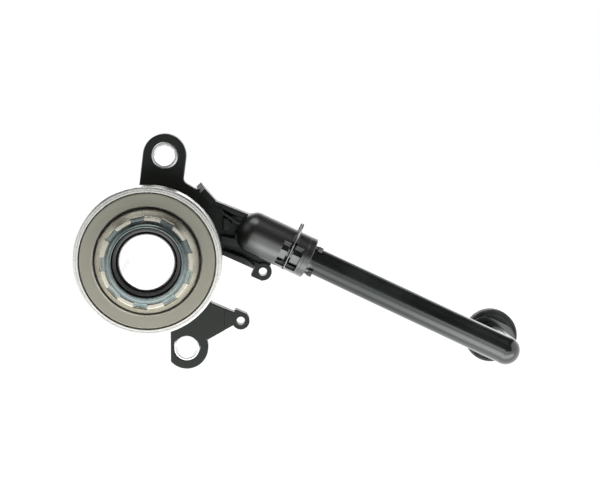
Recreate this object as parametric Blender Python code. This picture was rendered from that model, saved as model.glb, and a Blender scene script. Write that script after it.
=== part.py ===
"""Concentric slave cylinder: a hydraulic clutch release unit with its bearing, connector and pipe.

Lengths are in metres. X points right and Z up for someone who looks at the release bearing.
Y is the axis of the bore: the engine is at -Y and the gearbox at +Y. The plane y = 0 is the
face that the unit is bolted down on, so a front face is at a lower y than a back face.
"""
from math import atan2, cos, degrees, pi, radians, sin, sqrt

import bmesh
import bpy
from mathutils import Matrix, Vector

MM = 0.001

# Fits
FIT_GAP = 0.3 * MM
SMALL_CHAMFER = 0.3 * MM
EDGE_CHAMFER = 0.6 * MM
RING_GROOVE_WIDTH = 2.3 * MM

# Guide tube round the gearbox input shaft
BORE_RADIUS = 12.7 * MM
TUBE_WALL = 1.3 * MM
TUBE_FLANGE_WIDTH = 4.0 * MM
TUBE_FLANGE_THICKNESS = 1.5 * MM
TUBE_SETBACK = 1.0 * MM
TUBE_GLAND_DEPTH = 1.9 * MM
TUBE_GLAND_WIDTH = 1.9 * MM

# Annular cylinder and its piston
RELEASE_STROKE = 12.0 * MM
CHAMBER_WIDTH = 5.3 * MM
CYLINDER_WALL = 3.4 * MM
BOTTOM_THICKNESS = 3.2 * MM
BOTTOM_SPACE = 0.8 * MM
SEAL_LENGTH = 4.2 * MM
SEAL_LIP = 1.5 * MM
PISTON_LAND = 5.0 * MM
PISTON_NECK_WALL = 2.9 * MM
PISTON_NOSE_WALL = 1.8 * MM
NOSE_SETBACK = 3.5 * MM
STOP_RING_THICKNESS = 1.3 * MM
STOP_RING_DEPTH = 1.3 * MM
STOP_RING_LIP = 0.8 * MM
STOP_RING_OPENING = 24.0

# Flange and rear spigot of the housing
FLANGE_EDGE = 1.4 * MM
FLANGE_THICKNESS = 8.0 * MM
SPIGOT_WALL = 3.2 * MM
SPIGOT_LENGTH = 5.0 * MM
POCKET_DEPTH = 5.0 * MM
POCKET_RIM = 1.8 * MM
POCKET_RIB = 1.8 * MM
POCKET_PITCH = 30.0
FACE_RING_GROOVE = 2.2 * MM
FACE_RING_DEPTH = 1.5 * MM
FACE_RING_OFFSET = 1.6 * MM

# Fixing ears and their bushes
EAR_RADIUS = 10.6 * MM
EAR_ROOT = 12.0 * MM
BOLT_RADIUS = 5.0 * MM
BUSH_WALL = 1.25 * MM
BUSH_PROUD = 0.3 * MM
UPPER_EAR = (6.62 * MM, 47.54 * MM)
UPPER_EAR_LEAN = 7.2
LOWER_EAR = (16.90 * MM, -47.65 * MM)
LOWER_EAR_LEAN = 19.5

# Clip eyes on the right-hand plates
EYE_ORBIT = 55.6 * MM
EYE_MIRROR_ANGLE = -24.35
EYE_HALF_ANGLE = 13.95
EYE_RADIUS = 4.35 * MM
EYE_HOLE_RADIUS = 2.08 * MM
EYE_CORNER = 4.7 * MM
EYE_FLAT = 1.6 * MM

# Plates and ribs between the cylinder, the ears and the connector
PLATE_STEP = 0.6 * MM
RIB_THICKNESS = 1.4 * MM
WALL_THICKNESS = 2.2 * MM
STRIP_WIDTH = 3.5 * MM
ARM_WEB_FRONT = 9.0 * MM
ARM_WEB_BACK = 2.0 * MM
ARM_WALL_FRONT = 14.0 * MM
ARM_FIN_FRONT = 16.0 * MM
ARM_RIB_FRONT = 12.0 * MM
ARM_LEDGE_FRONT = 11.0 * MM
BLOCK_START = (24.2 * MM, 34.1 * MM)
BLOCK_FRONT = 13.0 * MM
BLOCK_WIDTH = 3.4 * MM
BLOCK_LENGTH = 11.2 * MM
BLOCK_CHAMFER = 3.4 * MM
BLOCK_ANGLE = -48.5

# Outlines of the plates and centre lines of the ribs, as (x, z) points in millimetres
SHOULDER_OUTLINE = ((8.0, 26.0), (15.6, 38.0), (16.0, 35.3), (16.9, 34.0), (21.9, 31.0),
                    (24.4, 31.5), (31.5, 25.8), (35.6, 21.3), (35.6, -1.5), (24.0, -4.0),
                    (10.0, 4.0))
PLATE_OUTLINE = ((18.0, -16.0), (29.6, -25.5), (35.6, -28.1), (35.6, -39.1), (27.4, -43.7),
                 (16.0, -42.0), (10.0, -28.0))
TONGUE_OUTLINE = ((33.0, -27.0), (40.8, -30.3), (43.5, -31.5), (43.5, -35.5), (40.2, -36.6),
                  (33.0, -40.5))
WEB_OUTLINE = ((33.0, 22.5), (49.1, 16.8), (56.0, 6.0), (50.2, -7.5), (33.0, 0.5))
UPPER_WALL_LINE = ((30.5, 25.9), (50.0, 18.0))
LOWER_WALL_LINE = ((34.0, -0.6), (53.0, -9.7))
FIN_LINE = ((33.5, 22.4), (48.5, 13.3))
RIB_LINE = ((34.0, 8.4), (46.5, 4.6))
LEDGE_LINE = ((34.0, 3.2), (49.0, -2.2))
STRIP_START = (38.0 * MM, -2.4 * MM)

# Connector boss: its mouth, direction and bores
MOUTH = (77.4 * MM, -15.0 * MM, -2.6 * MM)
CONNECTOR_ANGLE = -25.4
BOSS_RADIUS = 10.3 * MM
BOSS_LENGTH = 30.0 * MM
BOSS_DOME = 8.0 * MM
MOUTH_CHAMFER = 0.4 * MM
SOCKET_DEPTH = 17.0 * MM
SEAL_BORE_DEPTH = 26.5 * MM
PORT_RADIUS = 1.75 * MM
PORT_INTO_CHAMBER = 2.4 * MM
WINDOW_START = 16.0 * MM
WINDOW_END = 4.2 * MM
WINDOW_TOP = 3.8 * MM
WINDOW_BOTTOM = 8.3 * MM
WINDOW_FLOOR = 2.5 * MM
LUG_LENGTH = 3.9 * MM
LUG_SIZE = 2.6 * MM
LUG_UP = 6.5 * MM
LUG_FORWARD = 5.2 * MM

# Pipe with its plug end, elbow, collar and outlet spigot
PIPE_RADIUS_AT_PLUG = 6.64 * MM
PIPE_RADIUS_AT_ELBOW = 7.0 * MM
PIPE_LENGTH = 107.35 * MM
PIPE_BORE_RADIUS = 2.5 * MM
PLUG_RADIUS = 7.1 * MM
PLUG_NOSE_RADIUS = 5.1 * MM
PLUG_SHOULDER = 16.0 * MM
PLUG_NOSE = 25.0 * MM
PLUG_END = 1.5 * MM
PLUG_RING_START = 2.0 * MM
CLIP_GROOVE_RADIUS = 5.8 * MM
PLUG_RING_RADIUS = 3.9 * MM
ELBOW_RADIUS = 7.15 * MM
BORE_ELBOW_RADIUS = 2.6 * MM
LEG_LENGTH = 47.0 * MM
COLLAR_HALF_LENGTH = 12.6 * MM
COLLAR_HALF_WIDTH = 9.0 * MM
COLLAR_THICKNESS = 2.5 * MM
OUTLET_RADIUS = 4.0 * MM
OUTLET_LENGTH = 29.0 * MM
OUTLET_CHAMFER = 0.8 * MM
OUTLET_BEAD_RADIUS = 5.2 * MM
OUTLET_BEAD_SETBACK = 12.0 * MM
OUTLET_BEAD_SLOPE = 1.2 * MM
OUTLET_BEAD_WIDTH = 1.0 * MM
OUTLET_RING_RADIUS = 2.9 * MM
OUTLET_RING_START = 3.7 * MM

# Wire clip of the connector
CLIP_WIRE_RADIUS = 0.53 * MM
CLIP_POSITION = 10.2 * MM
CLIP_TOP = 14.4 * MM
CLIP_BOTTOM = 9.9 * MM
CLIP_SLOT = 2.6 * MM
CLIP_BEND = 1.6 * MM

# Grommet behind the collar
GROMMET_RADIUS = 13.7 * MM
GROMMET_REAR_RADIUS = 13.0 * MM
GROMMET_NECK_RADIUS = 10.4 * MM
GROMMET_FLANGE = 6.0 * MM
GROMMET_NECK = 2.5 * MM
GROMMET_TAIL = 3.5 * MM
GROMMET_EDGE = 1.2 * MM
GROMMET_LINE_RADIUS = 11.8 * MM
GROMMET_LINE_DEPTH = 0.6 * MM

# Release bearing
BALL_COUNT = 14
BALL_RADIUS = 3.6 * MM
INNER_RING_WALL = 6.7 * MM
RACE_TO_RACE = 1.3 * MM
INNER_RING_LENGTH = 16.9 * MM
INNER_RING_BEND = 3.0 * MM
INNER_RING_SHOULDER = 4.5 * MM
BALL_SETBACK = 4.7 * MM
CONTACT_SETBACK = 6.5 * MM
CONTACT_CHAMFER = 0.8 * MM
CONTACT_WIDTH = 4.9 * MM
OUTER_RING_EDGE = 0.6 * MM
OUTER_RING_LENGTH = 13.0 * MM
REAR_SEAL_WIDTH = 1.7 * MM
SHELL_THICKNESS = 2.7 * MM
SHELL_LENGTH = 14.5 * MM
SHELL_EDGE = 1.7 * MM
SHELL_LIP_WIDTH = 3.8 * MM
SEAL_PLATE = 1.0 * MM
REAR_SEAL_PLATE = 0.9 * MM
CAGE_POCKET_LENGTH = 6.0 * MM

# Carrier sleeve that holds the inner ring by nine bent lugs
LUG_COUNT = 9
FIRST_LUG_ANGLE = 21.5
NOTCH_WIDTH = 7.0 * MM
NOTCH_DEPTH = 2.3 * MM
SLEEVE_LIP_HEIGHT = 1.5 * MM
SLEEVE_FLANGE_WIDTH = 2.9 * MM
SLEEVE_WALL = 1.0 * MM
SLEEVE_SEATING = 0.1 * MM
SLEEVE_SEAT_DEPTH = 1.5 * MM
BENT_LUG_LENGTH = 1.8 * MM
BENT_LUG_DROP = 1.2 * MM
BENT_LUG_ROOT = 0.6 * MM

# Spring cap and preload spring
CAP_THICKNESS = 1.0 * MM
CAP_CLEARANCE = 1.3 * MM
CAP_RUNNING_GAP = 0.9 * MM
CAP_FLANGE_WIDTH = 6.6 * MM
CAP_DEPTH = 5.2 * MM
CAP_RIM = 2.0 * MM
SPRING_WIRE_RADIUS = 1.0 * MM
SPRING_BASE_GAP = 4.6 * MM
SPRING_TOP_GAP = 0.5 * MM
SPRING_TURNS = 5.5
SPRING_FACETS = 14

# Facets of round pieces, by how large and how visible they are
FINE_FACETS = 36
MEDIUM_FACETS = 30
COARSE_FACETS = 18
TINY_FACETS = 10
WIRE_FACETS = 6

# Radii and places that follow from the driving dimensions
TUBE_RADIUS = BORE_RADIUS + TUBE_WALL
PISTON_BORE = TUBE_RADIUS + FIT_GAP
CHAMBER_RADIUS = PISTON_BORE + CHAMBER_WIDTH
CYLINDER_RADIUS = CHAMBER_RADIUS + CYLINDER_WALL
SEAL_BACK = -(BOTTOM_SPACE + RELEASE_STROKE)
SEAL_FRONT = SEAL_BACK - SEAL_LENGTH
LAND_BACK = SEAL_FRONT - FIT_GAP
LAND_FRONT = LAND_BACK - PISTON_LAND
STOP_BACK = LAND_FRONT - FIT_GAP
STOP_FRONT = STOP_BACK - STOP_RING_THICKNESS
CYLINDER_FRONT = STOP_FRONT - STOP_RING_LIP - FIT_GAP
CAP_BACK = CYLINDER_FRONT - RELEASE_STROKE - CAP_CLEARANCE
CAP_FRONT = CAP_BACK - CAP_THICKNESS
INNER_RING_BACK = CAP_FRONT - FIT_GAP
INNER_RING_FRONT = INNER_RING_BACK - INNER_RING_LENGTH
BALL_PLANE = INNER_RING_BACK - BALL_SETBACK
CONTACT_FACE = INNER_RING_FRONT + CONTACT_SETBACK
SLEEVE_RADIUS = PISTON_BORE + PISTON_NOSE_WALL + FIT_GAP
SLEEVE_FLANGE_RADIUS = SLEEVE_RADIUS + SLEEVE_FLANGE_WIDTH
BENT_LUG_RADIUS = SLEEVE_FLANGE_RADIUS + BENT_LUG_LENGTH
INNER_RING_BORE = SLEEVE_RADIUS + SLEEVE_WALL + FIT_GAP
INNER_RING_OUTSIDE = INNER_RING_BORE + INNER_RING_WALL
INNER_RING_FLAT = INNER_RING_OUTSIDE - INNER_RING_BEND
BALL_PITCH_RADIUS = INNER_RING_OUTSIDE + 0.5 * RACE_TO_RACE
OUTER_RING_BORE = INNER_RING_OUTSIDE + RACE_TO_RACE
CONTACT_INSIDE = OUTER_RING_BORE + CONTACT_CHAMFER
CONTACT_OUTSIDE = CONTACT_INSIDE + CONTACT_WIDTH
OUTER_RING_OUTSIDE = CONTACT_OUTSIDE + OUTER_RING_EDGE
SHELL_BORE = OUTER_RING_OUTSIDE + FIT_GAP
SHELL_RADIUS = SHELL_BORE + SHELL_THICKNESS
SHELL_LIP = SHELL_BORE - SHELL_LIP_WIDTH
CAP_WALL_RADIUS = CYLINDER_RADIUS + CAP_RUNNING_GAP + CAP_THICKNESS
CAP_FLANGE_RADIUS = CAP_WALL_RADIUS + CAP_FLANGE_WIDTH
OUTER_RING_COUNTERBORE = CAP_WALL_RADIUS + REAR_SEAL_WIDTH + 2.0 * FIT_GAP
SPRING_BASE_RADIUS = CYLINDER_RADIUS + SPRING_BASE_GAP + SPRING_WIRE_RADIUS
SPRING_TOP_RADIUS = CAP_WALL_RADIUS + SPRING_TOP_GAP + SPRING_WIRE_RADIUS
FLANGE_RADIUS = SPRING_BASE_RADIUS + SPRING_WIRE_RADIUS + FLANGE_EDGE
TUBE_SEAT_RADIUS = TUBE_RADIUS + TUBE_FLANGE_WIDTH + FIT_GAP
SPIGOT_RADIUS = TUBE_SEAT_RADIUS + SPIGOT_WALL
SLEEVE_FRONT = INNER_RING_FRONT - SLEEVE_LIP_HEIGHT
PISTON_FRONT = SLEEVE_FRONT + NOSE_SETBACK
TUBE_FRONT = PISTON_FRONT + TUBE_SETBACK
CAP_FLANGE_FRONT = CAP_FRONT + CAP_DEPTH
CAP_FLANGE_BACK = CAP_FLANGE_FRONT + CAP_THICKNESS
BUSH_RADIUS = BOLT_RADIUS + BUSH_WALL
FLANGE_FRONT = -FLANGE_THICKNESS
CONNECTOR = Vector((cos(radians(CONNECTOR_ANGLE)), 0.0, sin(radians(CONNECTOR_ANGLE))))
CONNECTOR_UP = Vector((-CONNECTOR.z, 0.0, CONNECTOR.x))
MOUTH_CENTRE = Vector(MOUTH)
ELBOW_CENTRE = MOUTH_CENTRE + CONNECTOR * PIPE_LENGTH
COLLAR_FRONT = MOUTH_CENTRE.y + LEG_LENGTH - COLLAR_THICKNESS
COLLAR_BACK = COLLAR_FRONT + COLLAR_THICKNESS
GROMMET_FRONT = COLLAR_BACK + FIT_GAP
OUTLET_TIP = LEG_LENGTH + OUTLET_LENGTH
OUTLET_RING_CENTRE = OUTLET_TIP - OUTLET_RING_START - 0.5 * RING_GROOVE_WIDTH
PLUG_RING_CENTRE = -PLUG_NOSE + PLUG_RING_START + 0.5 * RING_GROOVE_WIDTH


def clear_scene():
    for item in list(bpy.data.objects):
        bpy.data.objects.remove(item, do_unlink=True)


def finish(name, colour, roughness, metallic):
    material = bpy.data.materials.new(name)
    material.use_nodes = True
    shader = material.node_tree.nodes["Principled BSDF"]
    shader.inputs["Base Color"].default_value = (*colour, 1.0)
    shader.inputs["Roughness"].default_value = roughness
    shader.inputs["Metallic"].default_value = metallic
    return material


def add_piece(name, mesh_data, material=None, sharp=35.0):
    """Turns a bmesh into a named object with smooth round faces and sharp edges."""
    bmesh.ops.remove_doubles(mesh_data, verts=mesh_data.verts, dist=0.002 * MM)
    bmesh.ops.recalc_face_normals(mesh_data, faces=mesh_data.faces)
    mesh = bpy.data.meshes.new(name)
    mesh_data.to_mesh(mesh)
    mesh_data.free()
    piece = bpy.data.objects.new(name, mesh)
    bpy.context.scene.collection.objects.link(piece)
    shade(piece, sharp)
    if material:
        mesh.materials.append(material)
    return piece


def shade(piece, sharp=35.0):
    piece.data.shade_smooth()
    piece.data.set_sharp_from_angle(angle=radians(sharp))


def combine(piece, tool, operation):
    """Joins, cuts or keeps the common part of a piece with a tool, which is used up."""
    modifier = piece.modifiers.new(operation, "BOOLEAN")
    modifier.operation = operation
    modifier.solver = "EXACT"
    modifier.object = tool
    graph = bpy.context.evaluated_depsgraph_get()
    result = bpy.data.meshes.new_from_object(piece.evaluated_get(graph))
    piece.modifiers.clear()
    piece.data = result
    bpy.data.objects.remove(tool, do_unlink=True)
    return piece


def complete(piece, material):
    """Merges the flat faces that the cuts left in pieces, then shades and colours the piece."""
    mesh_data = bmesh.new()
    mesh_data.from_mesh(piece.data)
    bmesh.ops.dissolve_limit(mesh_data, angle_limit=radians(0.1), verts=mesh_data.verts,
                             edges=mesh_data.edges)
    mesh_data.to_mesh(piece.data)
    mesh_data.free()
    shade(piece)
    piece.data.materials.clear()
    piece.data.materials.append(material)


def arc(centre, radius, start, end, steps):
    """Points on an arc, from the start to the end angle in degrees."""
    points = []
    for step in range(steps + 1):
        angle = radians(start + (end - start) * step / steps)
        points.append((centre[0] + radius * cos(angle), centre[1] + radius * sin(angle)))
    return points


def circle(centre, radius, facets):
    return arc(centre, radius, 0.0, 360.0, facets)[:-1]


def revolve(profile, facets, closed=True):
    """Spins a profile of (radius, y) points round the Y axis. A closed profile makes a ring."""
    mesh_data = bmesh.new()
    points = [mesh_data.verts.new((radius, y, 0.0)) for radius, y in profile]
    pairs = list(zip(points, points[1:]))
    if closed:
        pairs.append((points[-1], points[0]))
    edges = [mesh_data.edges.new(pair) for pair in pairs]
    bmesh.ops.spin(mesh_data, geom=points + edges, axis=(0.0, 1.0, 0.0), cent=(0.0, 0.0, 0.0),
                   steps=facets, angle=2.0 * pi, use_merge=True)
    return mesh_data


def ring(name, profile, facets, material=None):
    return add_piece(name, revolve(profile, facets), material)


def prism(outline, front, back):
    """Extrudes an outline of (x, z) points from the back plane to the front plane."""
    mesh_data = bmesh.new()
    corners = [mesh_data.verts.new((x, back, z)) for x, z in outline]
    face = mesh_data.faces.new(corners)
    grown = bmesh.ops.extrude_face_region(mesh_data, geom=[face])["geom"]
    moved = [item for item in grown if isinstance(item, bmesh.types.BMVert)]
    bmesh.ops.translate(mesh_data, verts=moved, vec=(0.0, front - back, 0.0))
    return mesh_data


def bar(start, end, thickness, front, back, side=1.0):
    """A straight wall between two (x, z) points that grows to one side of its line."""
    run = Vector((end[0] - start[0], end[1] - start[1])).normalized()
    across = Vector((-run.y, run.x)) * thickness * side
    outline = [start, end, (end[0] + across.x, end[1] + across.y),
               (start[0] + across.x, start[1] + across.y)]
    return prism(outline, front, back)


def in_metres(points):
    return [(x * MM, z * MM) for x, z in points]


def polar(radius, angle):
    return (radius * cos(radians(angle)), radius * sin(radians(angle)))


def connector_frame():
    """Local Y runs out of the connector's mouth, local Z is up across it and X is its back."""
    frame = Matrix.Identity(4)
    frame.col[1].xyz = CONNECTOR
    frame.col[2].xyz = CONNECTOR_UP
    frame.col[0].xyz = CONNECTOR.cross(CONNECTOR_UP)
    frame.col[3].xyz = MOUTH_CENTRE
    return frame


def place_in_connector(mesh_data):
    bmesh.ops.transform(mesh_data, matrix=connector_frame(), verts=mesh_data.verts)
    return mesh_data


def connector_box(along, up, depth):
    """A box given by its ranges along, up and behind the connector's axis."""
    outline = [(along[0], up[0]), (along[1], up[0]), (along[1], up[1]), (along[0], up[1])]
    box = bmesh.new()
    corners = [box.verts.new((-depth[0], a, n)) for a, n in outline]
    face = box.faces.new(corners)
    grown = bmesh.ops.extrude_face_region(box, geom=[face])["geom"]
    moved = [item for item in grown if isinstance(item, bmesh.types.BMVert)]
    bmesh.ops.translate(box, verts=moved, vec=(depth[0] - depth[1], 0.0, 0.0))
    return place_in_connector(box)


def leg_frame():
    """Local Y runs back along the pipe's leg from the centre of the elbow."""
    return Matrix.Translation(ELBOW_CENTRE)


def make_core():
    """Cylinder, round flange and rear spigot of the housing, turned as one solid form."""
    face_groove = FACE_RING_OFFSET + FACE_RING_GROOVE
    profile = [
        (0.0, CYLINDER_FRONT),
        (CYLINDER_RADIUS, CYLINDER_FRONT),
        (CYLINDER_RADIUS, FLANGE_FRONT),
        (FLANGE_RADIUS, FLANGE_FRONT),
        (FLANGE_RADIUS, 0.0),
        (SPIGOT_RADIUS, 0.0),
        (SPIGOT_RADIUS, FACE_RING_OFFSET),
        (SPIGOT_RADIUS - FACE_RING_DEPTH, FACE_RING_OFFSET),
        (SPIGOT_RADIUS - FACE_RING_DEPTH, face_groove),
        (SPIGOT_RADIUS, face_groove),
        (SPIGOT_RADIUS, SPIGOT_LENGTH),
        (0.0, SPIGOT_LENGTH),
    ]
    return add_piece("housing", revolve(profile, MEDIUM_FACETS, closed=False))


def cut_chamber(housing):
    """Chamber with the groove of the stop ring, and the bore and seat of the guide tube."""
    bottom = BOTTOM_THICKNESS
    gland = TUBE_RADIUS + TUBE_GLAND_DEPTH
    profile = [
        (0.0, CYLINDER_FRONT - MM),
        (CHAMBER_RADIUS, CYLINDER_FRONT - MM),
        (CHAMBER_RADIUS, STOP_FRONT - FIT_GAP),
        (CHAMBER_RADIUS + STOP_RING_DEPTH, STOP_FRONT - FIT_GAP),
        (CHAMBER_RADIUS + STOP_RING_DEPTH, STOP_BACK + FIT_GAP),
        (CHAMBER_RADIUS, STOP_BACK + FIT_GAP),
        (CHAMBER_RADIUS, 0.0),
        (PISTON_BORE, 0.0),
        (PISTON_BORE, 0.5 * (bottom - TUBE_GLAND_WIDTH)),
        (gland, 0.5 * (bottom - TUBE_GLAND_WIDTH)),
        (gland, 0.5 * (bottom + TUBE_GLAND_WIDTH)),
        (PISTON_BORE, 0.5 * (bottom + TUBE_GLAND_WIDTH)),
        (PISTON_BORE, bottom),
        (TUBE_SEAT_RADIUS, bottom),
        (TUBE_SEAT_RADIUS, SPIGOT_LENGTH + MM),
        (0.0, SPIGOT_LENGTH + MM),
    ]
    chamber = revolve(profile, MEDIUM_FACETS, closed=False)
    combine(housing, add_piece("chamber", chamber), "DIFFERENCE")


def ear_outline(centre, lean, reach):
    """A round ear whose parallel sides run back towards the cylinder."""
    outward = 90.0 - lean
    outline = arc(centre, EAR_RADIUS, outward - 90.0, outward + 90.0, COARSE_FACETS // 2)
    inward = Vector(polar(reach, outward + 180.0))
    for x, z in (outline[-1], outline[0]):
        outline.append((x + inward.x, z + inward.y))
    return outline


def add_ears(housing):
    reach = EAR_RADIUS + EAR_ROOT
    upper = prism(ear_outline(UPPER_EAR, UPPER_EAR_LEAN, reach), FLANGE_FRONT, 0.0)
    lower = prism(ear_outline(LOWER_EAR, 180.0 - LOWER_EAR_LEAN, reach), FLANGE_FRONT, 0.0)
    combine(housing, add_piece("upper_ear", upper), "UNION")
    combine(housing, add_piece("lower_ear", lower), "UNION")


def eye_outline(angle, mirrored):
    """A round eye with one squared corner that faces the other eye."""
    centre = Vector(polar(EYE_ORBIT, angle))
    along = Vector(polar(1.0, EYE_MIRROR_ANGLE))
    across = Vector((-along.y, along.x)) * (-1.0 if mirrored else 1.0)
    local = arc((0.0, 0.0), EYE_RADIUS, 180.0, 430.0, COARSE_FACETS * 2 // 3)
    local += [(EYE_FLAT, EYE_RADIUS), (-EYE_CORNER, EYE_RADIUS), (-EYE_CORNER, 0.0)]
    outline = [centre + along * p + across * q for p, q in local]
    return [(point.x, point.y) for point in outline]


def add_eyes(housing):
    front = FLANGE_FRONT + PLATE_STEP
    for name, sign in (("upper_eye", 1.0), ("lower_eye", -1.0)):
        angle = EYE_MIRROR_ANGLE + sign * EYE_HALF_ANGLE
        eye = prism(eye_outline(angle, sign > 0.0), front, 0.0)
        combine(housing, add_piece(name, eye), "UNION")
    for sign in (1.0, -1.0):
        centre = polar(EYE_ORBIT, EYE_MIRROR_ANGLE + sign * EYE_HALF_ANGLE)
        hole = prism(circle(centre, EYE_HOLE_RADIUS, TINY_FACETS), front - MM, MM)
        combine(housing, add_piece("eye_hole", hole), "DIFFERENCE")


def add_plates(housing):
    """Shoulder beside the upper ear, and the lower plate that carries the lower eye."""
    plates = (
        ("shoulder", SHOULDER_OUTLINE, 0.0),
        ("plate", PLATE_OUTLINE, 0.0),
        ("tongue", TONGUE_OUTLINE, PLATE_STEP),
    )
    for name, outline, step in plates:
        form = prism(in_metres(outline), FLANGE_FRONT + step, 0.0)
        combine(housing, add_piece(name, form), "UNION")


def add_block(housing):
    """Rib along the shoulder whose upper end is chamfered down to the plate."""
    start = Vector(BLOCK_START)
    run = Vector(polar(1.0, BLOCK_ANGLE))
    across = Vector((run.y, -run.x)) * BLOCK_WIDTH
    end = start + run * BLOCK_LENGTH
    block = prism([tuple(start), tuple(end), tuple(end + across), tuple(start + across)],
                  -BLOCK_FRONT, 0.0)
    for vert in block.verts:
        ahead = (Vector((vert.co.x, vert.co.z)) - start).dot(run)
        if vert.co.y < FLANGE_FRONT and ahead < 0.5 * BLOCK_LENGTH:
            vert.co.x += run.x * BLOCK_CHAMFER
            vert.co.z += run.y * BLOCK_CHAMFER
    combine(housing, add_piece("block", block), "UNION")


def add_arm(housing):
    """Ribbed web between the cylinder and the connector boss."""
    web = prism(in_metres(WEB_OUTLINE), -ARM_WEB_FRONT, -ARM_WEB_BACK)
    combine(housing, add_piece("web", web), "UNION")
    walls = (
        ("upper_wall", UPPER_WALL_LINE, WALL_THICKNESS, ARM_WALL_FRONT, -1.0),
        ("lower_wall", LOWER_WALL_LINE, WALL_THICKNESS, ARM_WALL_FRONT, 1.0),
        ("fin", FIN_LINE, RIB_THICKNESS, ARM_FIN_FRONT, -1.0),
        ("rib", RIB_LINE, WALL_THICKNESS, ARM_RIB_FRONT, -1.0),
        ("ledge", LEDGE_LINE, RIB_THICKNESS, ARM_LEDGE_FRONT, -1.0),
    )
    for name, line, thickness, front, side in walls:
        start, end = in_metres(line)
        wall = bar(start, end, thickness, -front, -ARM_WEB_BACK, side)
        combine(housing, add_piece(name, wall), "UNION")
    eye = Vector(polar(EYE_ORBIT, EYE_MIRROR_ANGLE + EYE_HALF_ANGLE))
    strip = bar(STRIP_START, (eye.x - EYE_RADIUS * 0.4, eye.y + EYE_RADIUS * 0.3), STRIP_WIDTH,
                FLANGE_FRONT + PLATE_STEP, 0.0, 1.0)
    combine(housing, add_piece("eye_strip", strip), "UNION")


def add_boss(housing):
    """Round boss with a domed inner end and two lugs that stand out of its mouth."""
    profile = [(0.0, 0.0), (BOSS_RADIUS - MOUTH_CHAMFER, 0.0), (BOSS_RADIUS, -MOUTH_CHAMFER)]
    for radius, along in arc((0.0, 0.0), 1.0, 0.0, -90.0, 5):
        profile.append((BOSS_RADIUS * radius, -BOSS_LENGTH + BOSS_DOME * along))
    boss = place_in_connector(revolve(profile, MEDIUM_FACETS, closed=False))
    combine(housing, add_piece("boss", boss), "UNION")
    half = 0.5 * LUG_SIZE
    for up in (LUG_UP, -LUG_UP):
        lug = connector_box((-MM, LUG_LENGTH), (up - half, up + half),
                            (-LUG_FORWARD - half, -LUG_FORWARD + half))
        combine(housing, add_piece("lug", lug), "UNION")


def cut_socket(housing):
    """Stepped socket for the pipe's plug, the port to the chamber and the clip's openings."""
    wide = PLUG_RADIUS + FIT_GAP
    narrow = PLUG_NOSE_RADIUS + FIT_GAP
    outside = LUG_LENGTH + MM
    profile = [(0.0, outside), (wide, outside), (wide, -SOCKET_DEPTH), (narrow, -SOCKET_DEPTH),
               (narrow, -SEAL_BORE_DEPTH), (0.0, -SEAL_BORE_DEPTH)]
    socket = place_in_connector(revolve(profile, MEDIUM_FACETS, closed=False))
    cavity = add_piece("cavity", socket)
    inner = MOUTH_CENTRE - CONNECTOR * (SEAL_BORE_DEPTH - PORT_RADIUS)
    direction = atan2(inner.z, inner.x)
    middle = 0.5 * (PISTON_BORE + CHAMBER_RADIUS)
    target = Vector((middle * cos(direction), -PORT_INTO_CHAMBER, middle * sin(direction)))
    port = bmesh.new()
    run = target - inner
    bmesh.ops.create_cone(port, cap_ends=True, segments=TINY_FACETS, radius1=PORT_RADIUS,
                          radius2=PORT_RADIUS, depth=run.length)
    turn = run.to_track_quat("Z", "Y").to_matrix().to_4x4()
    bmesh.ops.transform(port, matrix=Matrix.Translation(0.5 * (inner + target)) @ turn,
                        verts=port.verts)
    combine(cavity, add_piece("port", port), "UNION")
    combine(housing, cavity, "DIFFERENCE")
    window = connector_box((-WINDOW_START, -WINDOW_END), (-WINDOW_BOTTOM, WINDOW_TOP),
                           (-BOSS_RADIUS - MM, -WINDOW_FLOOR))
    combine(housing, add_piece("window", window), "DIFFERENCE")
    for sign in (1.0, -1.0):
        depths = sorted((sign * CLIP_GROOVE_RADIUS, sign * (BOSS_RADIUS + MM)))
        slot = connector_box((-CLIP_POSITION - 0.5 * CLIP_SLOT, -CLIP_POSITION + 0.5 * CLIP_SLOT),
                             (-BOSS_RADIUS - MM, BOSS_RADIUS + MM), depths)
        combine(housing, add_piece("slot", slot), "DIFFERENCE")


def cut_ear_holes(housing):
    for centre in (UPPER_EAR, LOWER_EAR):
        hole = prism(circle(centre, BUSH_RADIUS + FIT_GAP, COARSE_FACETS), FLANGE_FRONT - MM, MM)
        combine(housing, add_piece("ear_hole", hole), "DIFFERENCE")


def cut_rear_pockets(housing):
    """Cored pockets in the back of the round flange, left out where it has to stay solid."""
    inside = CYLINDER_RADIUS + POCKET_RIM
    outside = FLANGE_RADIUS - POCKET_RIM
    half = 0.5 * POCKET_PITCH - degrees(0.5 * POCKET_RIB / inside)
    solid = (UPPER_EAR, LOWER_EAR, (MOUTH_CENTRE - CONNECTOR * SEAL_BORE_DEPTH).xz)
    solid_angles = [degrees(atan2(point[1], point[0])) for point in solid]
    for index in range(int(360.0 / POCKET_PITCH)):
        angle = (index + 0.5) * POCKET_PITCH
        gaps = [abs((angle - other + 180.0) % 360.0 - 180.0) for other in solid_angles]
        if min(gaps) < POCKET_PITCH * 0.75:
            continue
        outline = arc((0.0, 0.0), outside, angle - half, angle + half, 3)
        outline += arc((0.0, 0.0), inside, angle + half, angle - half, 3)
        pocket = prism(outline, -POCKET_DEPTH, MM)
        combine(housing, add_piece("pocket", pocket), "DIFFERENCE")


def make_housing(material):
    housing = make_core()
    add_ears(housing)
    add_plates(housing)
    add_eyes(housing)
    add_block(housing)
    add_arm(housing)
    add_boss(housing)
    cut_chamber(housing)
    cut_socket(housing)
    cut_ear_holes(housing)
    cut_rear_pockets(housing)
    complete(housing, material)


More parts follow.
